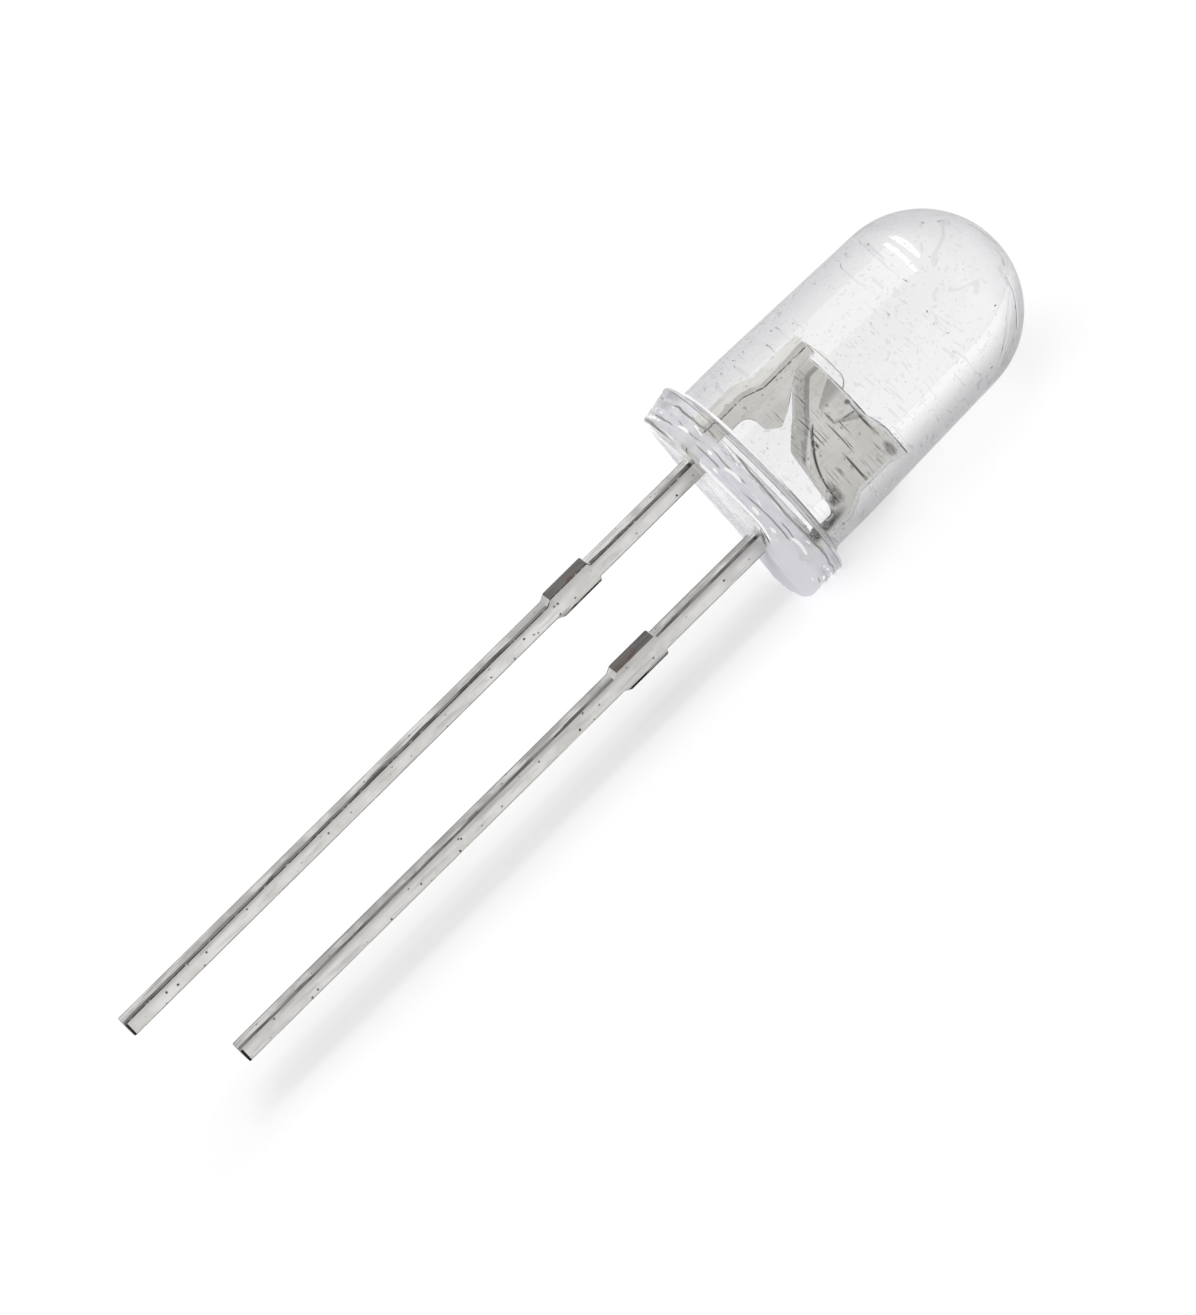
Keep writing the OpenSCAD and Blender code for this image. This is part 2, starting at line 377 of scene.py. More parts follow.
@dataclass(frozen=True)
class PaintedRing:
    """A broken line of painted light, dark or white, that runs round the flange at a wavering height. Lengths
    are in millimetres.

    A noise breaks it up: the line is there where the noise is above the least level. Each
    line reads its noise at a place of its own, which its height picks.
    """

    height: float
    wobble: float
    half_width: float
    least: float
    piece: float
    bend: float = 1.1
    fade: float = 0.12
    apart: Corner = (0.0, 31000.0, 13000.0)

    def drawn(self, at: Paint) -> Socket:
        """Draws the line.

        Args:
            at: the finish in the making.

        Returns:
            1 on the line, 0 elsewhere.
        """
        start = Vector(self.apart) * self.height
        round_axis = at.add(Kind.MAPPED, at.place, Location=start, Scale=(0.0, 1.0, 1.0))
        line = at.uneven(self.height, at.add(Kind.NOISE, round_axis, 1 / self.bend, 2.0), self.wobble)
        away = at.add(Kind.UNSIGNED, at.add(Kind.MINUS, at.parts[0], line))
        broken = at.add(Kind.NOISE, round_axis, 1 / self.piece, 1.0)
        reach = at.where((broken, self.least, self.least + self.fade), self.half_width)
        return at.where((at.add(Kind.MINUS, away, reach), 0.0, -0.5 * self.half_width))


@dataclass(frozen=True)
class CastEpoxy(Finish):
    """Water-clear epoxy, cast in a polished cup: clear as glass, with the faintest violet cast.

    Mould polish leaves fine waves, hairlines and two drawn scars on the dome, which break up
    its highlights. The rim of the flange was the free end of the cast: it is hazy, with broken
    rings of painted shade and painted highlight round it, and along its root a painted highlight
    on the upper side and painted shade below. Towards its outline the epoxy is painted greyer,
    as painted shade. Lengths are in millimetres.
    """

    name: ClassVar[str] = "clear_cast_epoxy"
    tint: str = "EEEEEF"
    rim_shade_tint: str = "A9A9AF"
    outline_shade_tint: str = "505056"
    haze_tint: str = "E4E3EA"
    hair_tint: str = "B9B9BE"
    ring_shade_tint: str = "868783"
    haze: float = 0.5
    haze_spread: float = 0.08
    haze_roughness: float = 0.2
    milk: float = 0.8
    milk_roughness: float = 0.6
    ior: float = 1.54
    wave: float = 0.9
    wave_height: float = 0.0012
    scratch: float = 0.12
    scratch_height: float = 0.00012
    hair_bend: float = 0.13
    hair_length: float = 0.11
    hair_height: float = 0.0014
    groove_height: float = 0.022
    inner_shore: float = 0.34
    aslant: Corner = (0.0, 0.453, 0.888)
    scars: tuple[Scar, ...] = (
        Scar((0.50, 0.761, -0.411), 3.04, -0.05, -1.25),
        Scar((0.636, -0.276, -0.7175), 5.86, -0.35, -1.35, depth=0.5),
    )
    shade_rings: tuple[PaintedRing, ...] = (
        PaintedRing(0.7, 0.34, 0.034, 0.34, 0.9),
        PaintedRing(0.9, 0.02, 0.014, 0.3, 0.9),
        PaintedRing(0.44, 0.3, 0.022, 0.44, 0.9),
        PaintedRing(0.28, 0.2, 0.026, 0.47, 0.9),
    )
    highlight_rings: tuple[PaintedRing, ...] = (
        PaintedRing(0.61, 0.4, 0.06, 0.52, 0.6),
        PaintedRing(0.38, 0.3, 0.055, 0.5, 0.6),
        PaintedRing(0.18, 0.14, 0.06, 0.49, 0.6),
    )
    root_highlight: PaintedRing = PaintedRing(1.11, 0.0, 0.05, 0.25, 0.9)
    root_shade: PaintedRing = PaintedRing(1.1, 0.0, 0.03, 0.2, 0.9)

    def _hairs(self, at: Paint) -> Socket:
        """Draws short curved hairlines: bits of the level lines of a slow noise.

        Args:
            at: the finish in the making.

        Returns:
            1 on a hairline, 0 elsewhere.
        """
        slow = at.add(Kind.NOISE, at.place, 1 / self.hair_bend, 0.0)
        away = at.add(Kind.UNSIGNED, at.add(Kind.MINUS, slow, 0.5))
        short = at.add(Kind.NOISE, at.place, 1 / self.hair_length, 0.0)
        return at.where((away, 0.1, 0.02), (short, 0.62, 0.68))

    def _painted_rings(self, at: Paint) -> tuple[Socket, Socket]:
        """Draws the rings of painted shade and painted highlight round the flange, and the painted highlight
        and shade along its root.

        Args:
            at: the finish in the making.

        Returns:
            How much painted shade and how much painted highlight the epoxy takes.
        """
        z = at.parts[2]
        dark = at.either(*(line.drawn(at) for line in self.shade_rings))
        white = at.either(*(line.drawn(at) for line in self.highlight_rings))
        # Painted shade along the flange's root on the lower side, painted highlight on the upper side.
        dark = at.either(dark, at.where(self.root_shade.drawn(at), (z, 0.5, 0.2)))
        return dark, at.either(white, at.where(self.root_highlight.drawn(at), (z, 0.5, 0.8)))

    def _relief(self, at: Paint, hairs: Socket) -> Socket:
        """Raises the waves, scratches, hairlines and scars.

        Args:
            at: the finish in the making.
            hairs: where the hairlines are.

        Returns:
            The direction that the surface faces.
        """
        normal = None
        for level, height in (
            (at.add(Kind.NOISE, at.place, 1 / self.wave, 1.0), self.wave_height),
            (at.add(Kind.NOISE, at.place, 1 / self.scratch, 3.0), self.scratch_height),
            (hairs, self.hair_height),
            (at.add(Kind.PLUS, *(scar.drawn(at) for scar in self.scars)), self.groove_height),
        ):
            normal = at.add(Kind.BUMP, 1.0, height * MM, Height=level, Normal=normal)
        return normal

    def _haze(self, at: Paint) -> tuple[Socket, Socket]:
        """Draws the haze at the foot of the flange, and its milky swollen corner.

        Args:
            at: the finish in the making.

        Returns:
            Where the epoxy is hazy and where it is milky.
        """
        x, _, z = at.parts
        patches = at.add(Kind.NOISE, at.place, 1 / 0.7, 2.0)
        aslant = at.uneven(at.add(Kind.DOT, at.place, self.aslant), patches, 0.7)
        swollen = at.where((at.uneven(x, patches, -0.6), 0.42, 0.26), (aslant, -1.15, -1.5))
        shore = at.uneven(x, at.add(Kind.NOISE, at.place, 1 / 1.2, 1.0), 0.5)
        outer = at.either((z, 2.66, 2.8), (z, -1.2, -1.5))
        shore = at.add(Kind.BETWEEN, outer, shore, at.add(Kind.MINUS, x, self.inner_shore))
        hazy = at.where((shore, 0.7, 0.62), at.either((x, 0.07, 0.13), (z, -1.1, -1.3)))
        return hazy, swollen

    def paint(self, at: Paint) -> dict[str, Feed]:
        """Draws the epoxy.

        Args:
            at: the finish in the making.

        Returns:
            What feeds the surface's inputs.
        """
        hairs = self._hairs(at)
        facing = at.add(Kind.FACING).node.outputs["Facing"]
        hazy, swollen = self._haze(at)
        dark, white = self._painted_rings(at)
        # Painted shade: the epoxy turns greyer where its surface turns away from the eye, and darkest at the
        # outline.
        colour = at.tinted(self.tint, self.rim_shade_tint, (facing, 0.15, 0.92))
        colour = at.tinted(colour, self.outline_shade_tint, (facing, 0.72, 0.92))
        colour = at.tinted(colour, self.hair_tint, hairs, 0.5)
        colour = at.tinted(colour, WHITE, (at.parts[0], 0.12, 0.06))
        colour = at.tinted(colour, self.haze_tint, at.either(hazy, swollen))
        # Painted shade: the dark rings round the flange.
        colour = at.tinted(colour, self.ring_shade_tint, dark)
        thin, thick = self.haze - self.haze_spread, self.haze + self.haze_spread
        milky = at.where(hazy, (at.add(Kind.NOISE, at.place, 1 / 0.5, 2.0), 0.3, 0.7, thin, thick))
        milky = at.either(milky, at.where(swollen, self.milk))
        solid = at.either(milky, at.where(white, 0.9), at.where(dark, 0.7))
        rough = at.either(at.where(hazy, self.haze_roughness), at.where(swollen, self.milk_roughness))
        return {
            # Painted highlight: the white rings round the flange and along its root.
            "Base Color": at.tinted(colour, WHITE, white),
            "Roughness": rough,
            "IOR": self.ior,
            "Transmission Weight": at.add(Kind.MINUS, 1.0, solid),
            "Normal": self._relief(at, hairs),
        }


@dataclass(frozen=True)
class Spot:
    """A soft oval spot of painted shade on the lead frame, by its middle and half sizes, in millimetres."""

    across: float
    height: float
    half_width: float
    half_height: float
    amount: float = 1.0

    def drawn(self, at: Paint) -> Socket:
        """Draws the spot.

        Args:
            at: the finish in the making.

        Returns:
            1 in the middle, falling to 0 at the rim.
        """
        moved = at.add(Kind.VECTOR_MINUS, at.place, laid(self.across, 0.0, self.height) / MM)
        scaled = at.add(Kind.VECTOR_TIMES, moved, (1 / self.half_height, 0.0, 1 / self.half_width))
        return at.where((at.add(Kind.LENGTH, scaled), 1.0, 0.35))


@dataclass(frozen=True)
class Stroke:
    """A straight stroke of painted highlight on the lead frame, between points given as across and height.

    Lengths are in millimetres. The whole is the least amount of it that shows.
    """

    start: Point
    end: Point
    half_width: float
    whole: float

    def drawn(self, at: Paint) -> Socket:
        """Draws the stroke.

        Args:
            at: the finish in the making.

        Returns:
            1 on the stroke, 0 elsewhere.
        """
        origin = laid(self.start[0], 0.0, self.start[1]) / MM
        run = laid(self.end[0], 0.0, self.end[1]) / MM - origin
        flat = at.add(Kind.VECTOR_TIMES, at.place, (1.0, 0.0, 1.0))
        beyond = at.add(Kind.VECTOR_MINUS, flat, origin)
        along = at.add(Kind.DOT, beyond, run / run.length_squared)
        along = at.add(Kind.LARGER, at.add(Kind.SMALLER, along, 1.0), 0.0)
        off = at.add(Kind.VECTOR_MINUS, beyond, at.add(Kind.SCALED, run, along))
        return at.where((at.add(Kind.LENGTH, off), self.half_width, 0.5 * self.half_width))


@dataclass(frozen=True)
class TinPlate(Finish):
    """Matt tin on stamped steel strip: warm light grey and satin, with scattered dark specks.

    Inside the lens the plating is kept from the air and stays brighter. There painted shade
    darkens spots in the cup and lines, a patch and the notch by the neck, and the crease under
    the anvil, and painted highlights whiten its top and edges. The punched sides are bright and
    streaked, with a black line next to the front face that is partly a torn edge and partly
    painted shade, and the stubs of the tie bar are bare steel that has begun to rust; their
    shoulders are painted white as highlight.
    Lengths are in millimetres, and grains are in cells per millimetre along X, Y and Z.
    """

    name: ClassVar[str] = "tin_plated_steel"
    face: str = "E2E1DF"
    cloud: str = "CFCDCA"
    head_face: str = "FBF9F3"
    head_cloud: str = "F0EDE5"
    cut_side: str = "FCFBF9"
    streak: str = "A3A09D"
    line: str = "120D0C"
    speck: str = "4F4038"
    smear_and_shade: str = "55534F"
    painted_shade: str = "2A2928"
    bare: str = "7B7977"
    torn: str = "4E4C4A"
    rust: str = "6B3F28"
    roughness: float = 0.3
    relief_height: float = 0.006
    half_thickness: float = 0.25
    axis: float = 1.27
    stub: float = 0.265
    edge: float = 0.012
    line_width: float = 0.155
    long_end: float = -18.25
    short_end: float = -16.75
    speck_cell: float = 0.2
    crease_middle: float = 1.05
    crease_height: float = 1.92
    crease_bend: float = 0.595
    strip_grain: Corner = (0.9, 9.0, 9.0)
    cloud_grain: Corner = (1.1, 1.1, 1.1)
    drawn_grain: Corner = (20.0, 0.7, 0.8)
    smear_grain: Corner = (22.0, 0.7, 0.8)
    patch_grain: Corner = (1.5, 1.5, 1.5)
    mottle_grain: Corner = (9.0, 9.0, 9.0)
    few_grain: Corner = (2.8, 2.8, 2.8)
    ragged_grain: Corner = (14.0, 24.0, 24.0)
    shade_spots: tuple[Spot, ...] = (
        Spot(0.98, 2.02, 0.26, 0.13, 0.85),
        Spot(1.08, 1.85, 0.13, 0.16, 0.9),
        Spot(1.1, 3.6, 0.18, 0.16, 0.75),
        Spot(-0.03, 3.6, 0.07, 0.13, 0.9),
        Spot(0.2, 3.42, 0.04, 0.26, 0.9),
        Spot(0.05, 3.04, 0.2, 0.04, 0.8),
    )
    neck_shade: Spot = Spot(1.25, 1.3, 0.14, 0.8)
    highlight_strokes: tuple[Stroke, ...] = (
        Stroke((1.3, 3.8), (1.23, 3.36), 0.04, 0.7),
        Stroke((1.23, 3.36), (1.22, 2.48), 0.034, 0.4),
        Stroke((1.22, 2.48), (1.4, 1.97), 0.034, 0.7),
        Stroke((1.4, 1.97), (1.42, 1.3), 0.025, 0.6),
        Stroke((-0.02, 2.56), (0.39, 1.98), 0.03, 1.0),
        Stroke((0.6, 3.66), (0.87, 3.8), 0.03, 0.3),
        Stroke((0.87, 3.81), (1.3, 3.81), 0.04, 0.0),
        Stroke((-0.6, 3.66), (0.3, 3.66), 0.03, 0.0),
    )

    def _grained(self, at: Paint, grain: Corner, detail: float) -> Socket:
        """Gives noise that is drawn out by a grain."""
        return at.add(Kind.NOISE, at.add(Kind.MAPPED, at.place, Scale=grain), 1.0, detail, 0.6)

    def _painted_light_on_head(self, at: Paint, colour: Socket) -> Socket:
        """Paints light and shade on the head: dark lines, spots, a patch, the crease and the neck's notch in
        painted shade, and strokes and the back edges in painted highlight.

        Args:
            at: the finish in the making.
            colour: the colour so far.

        Returns:
            The new colour.
        """
        x, y, z = at.parts
        drawn, where = self._grained(at, self.smear_grain, 2.0), self._grained(at, self.patch_grain, 2.0)
        lines = (drawn, 0.565, 0.62), (where, 0.42, 0.55)
        # Painted shade: dark drawn lines on the anvil's lower part, by the neck.
        colour = at.tinted(colour, self.smear_and_shade, *lines, (x, 1.9, 2.1), (z, 0.9, 0.5))
        mottle = self._grained(at, self.mottle_grain, 3.0)
        # Painted shade: soft dark spots in the cup and by the neck.
        for spot in self.shade_spots:
            colour = at.tinted(colour, self.smear_and_shade, spot.drawn(at), (mottle, 0.25, 0.6, 0.35, spot.amount))
        # Painted highlight: broken white strokes along the edges of the head's front face.
        wear_and_glint, front = at.where((mottle, 0.36, 0.46)), at.where((at.faced[1], -0.4, -0.7))
        for stroke in self.highlight_strokes:
            colour = at.tinted(colour, WHITE, stroke.drawn(at), at.either(wear_and_glint, stroke.whole), front)
        # Painted highlight: white along the head's back edges.
        colour = at.tinted(colour, WHITE, (y, 0.15, 0.175), (x, 2.3, 2.5), (mottle, 0.42, 0.5))
        # Painted shade: a dark patch by the neck.
        colour = at.tinted(colour, self.painted_shade, self.neck_shade.drawn(at), (mottle, 0.25, 0.55, 0.6, 1.0))
        # Painted shade: a dark line in the crease under the anvil.
        colour = at.tinted(colour, self.painted_shade, self._crease(at), (mottle, 0.3, 0.5, 0.55, 0.95))
        # Painted shade: the inner side of the neck's notch is dark.
        neck = (at.faced[2], 0.5, 0.8), (x, 0.8, 0.86), (x, 1.78, 1.6), (z, -1.1, -1.15)
        return at.tinted(colour, self.painted_shade, *neck, (mottle, 0.2, 0.5, 0.8, 1.0))

    def _crease(self, at: Paint) -> Socket:
        """Draws a line of painted shade in the crease that curves along the anvil's underside.

        Args:
            at: the finish in the making.

        Returns:
            1 on the line, 0 elsewhere.
        """
        x, y, z = at.parts
        off = at.add(Kind.PLUS, z, self.crease_middle)
        rise = at.where(off, off, self.crease_bend)
        slope = at.where(off, 2 * self.crease_bend)
        steep = at.add(Kind.ROOT, at.add(Kind.PLUS, at.where(slope, slope), 1.0))
        above = at.add(Kind.MINUS, at.add(Kind.MINUS, x, self.crease_height), rise)
        away = at.add(Kind.UNSIGNED, at.add(Kind.DIVIDED, above, steep))
        return at.where((away, 0.034, 0.008), (z, 0.1, 0.0), (z, -1.2, -1.1), (y, -0.1, -0.18))

    def _line(self, at: Paint, colour: Socket, grain: Socket) -> Socket:
        """Darkens the punched sides next to the front face in a ragged black line, partly a torn edge and
        partly painted shade for the dark corner.

        Args:
            at: the finish in the making.
            colour: the colour so far.
            grain: noise that makes the line ragged.

        Returns:
            The new colour.
        """
        middle = self.line_width - self.half_thickness
        # A black line: partly a torn edge, partly painted shade for the dark corner.
        torn = (at.uneven(at.parts[1], grain, 0.22), middle + 0.01, middle - 0.01)
        on_side = (at.add(Kind.UNSIGNED, at.faced[2]), 0.3, 0.55)
        return at.tinted(colour, self.line, torn, on_side, (at.parts[0], 0.0, 0.3, 1.0, 0.35))

    def _specks(self, at: Paint, colour: Socket) -> Socket:
        """Scatters small dark specks over the plating.

        Args:
            at: the finish in the making.
            colour: the colour so far.

        Returns:
            The new colour.
        """
        cells = at.add(Kind.CELLS, at.place, 1 / self.speck_cell)
        chosen = self._grained(at, self.few_grain, 2.0)
        ragged = at.where(self._grained(at, self.ragged_grain, 2.0), 0.3)
        dot = (at.add(Kind.PLUS, cells, ragged), 0.36, 0.26)
        return at.tinted(colour, self.speck, dot, (chosen, 0.48, 0.56), (at.parts[0], 0.0, 0.1, 1.0, 0.45))

    def _rims(self, at: Paint, colour: Socket, clouds: Socket) -> Socket:
        """Draws a white line of painted highlight along the anvil's top with a broken dark crown over it, and
        paints the stub shoulders white as highlight.

        Args:
            at: the finish in the making.
            colour: the colour so far.
            clouds: broad noise that makes the rim uneven.

        Returns:
            The new colour.
        """
        x, _, z = at.parts
        top = at.add(Kind.SPREAD, z, -0.55, -0.85, 3.64, 3.79)
        over = at.uneven(at.add(Kind.MINUS, x, top), clouds, 0.15)
        cathode = (z, 0.8, 0.75)
        # Painted highlight: a white line along the anvil's top.
        colour = at.tinted(colour, WHITE, (over, 0.0, 0.012), cathode)
        colour = at.tinted(colour, self.smear_and_shade, (over, 0.05, 0.06), (clouds, 0.42, 0.5), cathode)
        # Painted highlight: the stub shoulders, which face along the leads, are white.
        ends = at.add(Kind.UNSIGNED, at.faced[0])
        return at.tinted(colour, WHITE, (ends, 0.15, 0.4), (x, -1.0, -2.0), (x, -8.0, -7.0))

    def _bare_steel(self, at: Paint, colour: Socket, clouds: Socket, grain: Socket) -> tuple[Socket, Socket]:
        """Bares the steel of the stubs and of the cut ends, and darkens the strip along its edges and towards
        its upper edge.

        Args:
            at: the finish in the making.
            colour: the colour so far.
            clouds: broad noise for the rust.
            grain: fine noise for the torn metal.

        Returns:
            The new colour and how bare the steel of the stubs is.
        """
        x, y, z = at.parts
        off_axis = at.add(Kind.UNSIGNED, at.add(Kind.MINUS, at.add(Kind.UNSIGNED, z), self.axis))
        by_stub = (x, -0.5, -1.0)
        bare = at.where((off_axis, self.stub + self.edge, self.stub + 2 * self.edge), by_stub)
        steel = at.graded(grain, (0.3, self.torn), (0.65, self.bare))
        rusty = at.tinted(steel, self.rust, (clouds, 0.48, 0.6), (grain, 0.42, 0.55))
        colour = at.tinted(colour, rusty, bare)
        aside = at.add(Kind.MINUS, at.where(at.add(Kind.SIGN, z), self.axis), z)
        dark_edge = self.stub - 0.03
        colour = at.tinted(colour, self.line, (aside, dark_edge, dark_edge + self.edge), by_stub)
        outside = at.where((x, 0.0, -0.05), at.add(Kind.MINUS, 1.0, bare))
        colour = at.tinted(colour, self.streak, (aside, 0.155, 0.175), (clouds, 0.36, 0.5), outside, 0.7)
        # Darker towards each lead's upper edge.
        upper_side = (aside, -0.02, -0.19), (clouds, 0.36, 0.62, 0.25, 0.75)
        colour = at.tinted(colour, self.streak, *upper_side, outside)
        turned = (at.add(Kind.UNSIGNED, at.faced[2]), 0.25, 0.45)
        rims = at.either(at.where((aside, 0.168, 0.18), turned), (y, 0.2, 0.22))
        colour = at.tinted(colour, self.smear_and_shade, rims, outside, 0.8)
        end = at.add(Kind.BETWEEN, at.where((z, -0.1, 0.1)), self.short_end, self.long_end)
        burr = (at.add(Kind.MINUS, end, x), -0.075, -0.06), (aside, -0.19, -0.16)
        colour = at.tinted(colour, self.line, *burr, (at.faced[0], -0.6, -0.3))
        return at.tinted(colour, steel, (at.faced[0], -0.6, -0.85), (x, -10.0, -11.0)), bare

    def paint(self, at: Paint) -> dict[str, Feed]:
        """Draws the plating.

        Args:
            at: the finish in the making.

        Returns:
            What feeds the surface's inputs.
        """
        grain = self._grained(at, self.strip_grain, 4.0)
        clouds = self._grained(at, self.cloud_grain, 3.0)
        head = at.where((at.parts[0], 0.02, 0.1))
        outside = at.graded(clouds, (0.35, self.cloud), (0.6, self.face))
        inside = at.graded(clouds, (0.38, self.head_cloud), (0.6, self.head_face))
        colour = at.tinted(outside, inside, head)
        colour = at.tinted(colour, self.streak, (grain, 0.5, 0.3), (head, 0.0, 1.0, 0.45, 0.15))
        punched = at.graded(grain, (0.28, self.streak), (0.52, self.cut_side))
        side = (at.add(Kind.UNSIGNED, at.faced[2]), 0.55, 0.8)
        colour = at.tinted(colour, punched, side, at.add(Kind.MINUS, 1.0, at.where(head, 0.8)))
        colour = self._specks(at, self._line(at, self._painted_light_on_head(at, colour), grain))
        colour, bare = self._bare_steel(at, self._rims(at, colour, clouds), clouds, grain)
        rough = at.add(Kind.PLUS, self.roughness, at.where(grain, 0.12))
        level = at.add(Kind.BETWEEN, head, grain, self._grained(at, self.drawn_grain, 2.0))
        return {
            "Base Color": colour,
            "Metallic": at.where((at.parts[0], 0.02, 0.1, 0.6, 0.2)),
            "Roughness": at.add(Kind.PLUS, rough, at.where(bare, 0.2)),
            "Normal": at.add(Kind.BUMP, 0.6, self.relief_height * MM, Height=level),
        }


@dataclass(frozen=True)
class BurnishedEdgeWithPaintedLight(Finish):
    """Sheared edge of the tinned strip. In the lens it shines, with patches of matt white painted highlight
    and dark outlines of painted shade; outside it is blackened, partly by soil and rust and partly as painted
    shade.
    """

    name: ClassVar[str] = "sheared_tin_edge"
    bright: str = WHITE
    worn: str = "E9E7E2"
    dark_edge: str = "1A1411"
    rusty: str = "4A3226"
    open_tin: str = "A5A29F"
    wear_and_glint_mm: float = 0.12
    slant: float = 0.683
    underside: float = 0.253

    def paint(self, at: Paint) -> dict[str, Feed]:
        """Draws the sheared edge.

        Args:
            at: the finish in the making.

        Returns:
            What feeds the surface's inputs.
        """
        x, y, z = at.parts
        wear_and_glint = at.add(Kind.NOISE, at.place, 1 / self.wear_and_glint_mm, 3.0)
        shine_and_highlight = at.graded(wear_and_glint, (0.4, self.worn), (0.5, self.bright))
        # Outside, the black edge is partly soil and partly painted shade for the dark corner.
        soil_and_shade = at.graded(wear_and_glint, (0.42, self.dark_edge), (0.58, self.rusty))
        dirt_and_shade = at.graded(wear_and_glint, (0.58, soil_and_shade), (0.64, self.open_tin))
        inside = at.where((x, 0.0, 0.1))
        off_slant = at.add(Kind.MINUS, at.where(x, self.slant), z)
        off_underside = at.add(Kind.MINUS, x, at.where(z, self.underside))
        crease = (off_slant, 1.74, 1.78), (off_underside, 2.06, 2.09), (x, 2.7, 2.65), (z, -1.17, -1.15)
        outline = at.either((z, 0.85, 0.9), at.where((x, 2.5, 2.6), (z, -0.2, -0.1)), at.where(*crease))
        front = at.where((y, 0.0, -0.1))
        # Painted shade: dark outlines along the front edges in the lens.
        shine_and_highlight = at.tinted(shine_and_highlight, self.dark_edge, outline, front, (wear_and_glint, 0.38, 0.5))
        # Painted highlight: the heel's front edge is matt white.
        heel = at.where((x, 2.62, 2.58), (z, -0.5, -0.44), front, (off_slant, 1.76, 1.72))
        metal = at.add(Kind.MINUS, at.where((x, 0.0, 0.1, 0.2, 1.0)), heel)
        # Painted highlight: in the lens, patches of the edge are matt white rather than metal.
        metal = at.add(Kind.MINUS, metal, at.where((wear_and_glint, 0.47, 0.53), inside, 0.9))
        return {
            "Base Color": at.tinted(dirt_and_shade, shine_and_highlight, inside),
            "Metallic": at.either(metal, 0.0),
            "Roughness": at.where((x, 0.0, 0.1, 0.45, 0.2)),
        }


@dataclass(frozen=True)
class SilverEpoxy(Finish):
    """Silver-filled epoxy, dispensed as a drop and cured: matt grey with glinting flakes."""

    name: ClassVar[str] = "silver_filled_epoxy"
    resin: str = "A9A8A4"
    flake: str = "D9D8D3"
    flake_mm: float = 0.012
    relief_mm: float = 0.003

    def paint(self, at: Paint) -> dict[str, Feed]:
        """Draws the silver epoxy.

        Args:
            at: the finish in the making.

        Returns:
            What feeds the surface's inputs.
        """
        flakes = at.add(Kind.CELLS, at.place, 1 / self.flake_mm)
        return {
            "Base Color": at.graded(flakes, (0.1, self.flake), (0.5, self.resin)),
            "Metallic": 0.6,
            "Roughness": 0.5,
            "Normal": at.add(Kind.BUMP, 0.6, self.relief_mm * MM, Height=flakes),
        }


@dataclass(frozen=True)
class ChipCrystal(Finish):
    """Sawn semiconductor crystal: smooth, dark amber-grey, with saw marks on its sides."""

    name: ClassVar[str] = "sawn_crystal"
    body: str = "8C8163"
    edge: str = "5F5740"
    saw_mm: float = 0.008
    waves_per_unit: float = 0.16

    def paint(self, at: Paint) -> dict[str, Feed]:
        """Draws the crystal.

        Args:
            at: the finish in the making.

        Returns:
            What feeds the surface's inputs.
        """
        scale = self.waves_per_unit / self.saw_mm
        saw = at.add(Kind.WAVES, at.place, scale, 2.0).node.outputs["Fac"]
        colour = at.graded(saw, (0.2, self.edge), (0.7, self.body))
        return {"Base Color": colour, "Roughness": 0.22, "IOR": 2.2, "Specular IOR Level": 0.6}


@dataclass(frozen=True)
class FineGold(Finish):
    """Fine gold, drawn as wire or sputtered as a pad: warm, bright and soft in its shine."""

    name: ClassVar[str] = "fine_gold"
    bright: str = "F3EBDC"
    dull: str = "E4D9C4"
    grain_mm: float = 0.02
    roughness: float = 0.25

    def paint(self, at: Paint) -> dict[str, Feed]:
        """Draws the gold.

        Args:
            at: the finish in the making.

        Returns:
            What feeds the surface's inputs.
        """
        pattern = at.add(Kind.NOISE, at.place, 1 / self.grain_mm, 2.0)
        colour = at.graded(pattern, (0.35, self.dull), (0.65, self.bright))
        return {"Base Color": colour, "Metallic": 1.0, "Roughness": self.roughness}


@dataclass(frozen=True)
class Fleck(Finish):
    """Dust and tiny voids in the cast epoxy: milky or grey specks that catch the light."""

    name: ClassVar[str] = "epoxy_fleck"
    milky: str = WHITE
    grey: str = "A5A3A8"
    patch_mm: float = 0.25

    def paint(self, at: Paint) -> dict[str, Feed]:
        """Draws the specks.

        Args:
            at: the finish in the making.

        Returns:
            What feeds the surface's inputs.
        """
        pattern = at.add(Kind.NOISE, at.place, 1 / self.patch_mm, 0.0)
        colour = at.graded(pattern, (0.49, self.grey), (0.51, self.milky))
        return {"Base Color": colour, "Roughness": 0.6}


@dataclass(frozen=True)
class WhitePaper(Finish):
    """Smooth white paper: matt, and white to the eye where nothing shades it."""

    name: ClassVar[str] = "white_paper"
    colour: str = "F7F7F7"
    fibre: str = "F5F5F5"
    fibre_mm: float = 3.0
    glow: float = 0.15

    def surface(self, at: Paint) -> Socket:
        """Gives matt paper with a glow that only camera, glossy and transmission rays see.

        Args:
            at: the finish in the making.

        Returns:
            The surface.
        """
        pattern = at.add(Kind.NOISE, at.place, 1 / self.fibre_mm, 3.0)
        colour = at.graded(pattern, (0.3, self.fibre), (0.7, self.colour))
        rays = at.add(Kind.RAYS).node.outputs
        seen = at.either(rays["Is Camera Ray"], rays["Is Glossy Ray"], rays["Is Transmission Ray"])
        glow = at.add(Kind.GLOW, WHITE, at.where(seen, self.glow))
        return at.add(Kind.BOTH_SHADERS, at.add(Kind.MATT, colour), glow)


def mesh_object(name: str, mesh: bpy.types.Mesh) -> bpy.types.Object:
    """Puts a mesh into the scene as an object at the origin."""
    return put(bpy.data.objects.new(name, mesh))


def put(thing: bpy.types.Object) -> bpy.types.Object:
    """Puts an object into the scene."""
    bpy.context.scene.collection.objects.link(thing)
    return thing


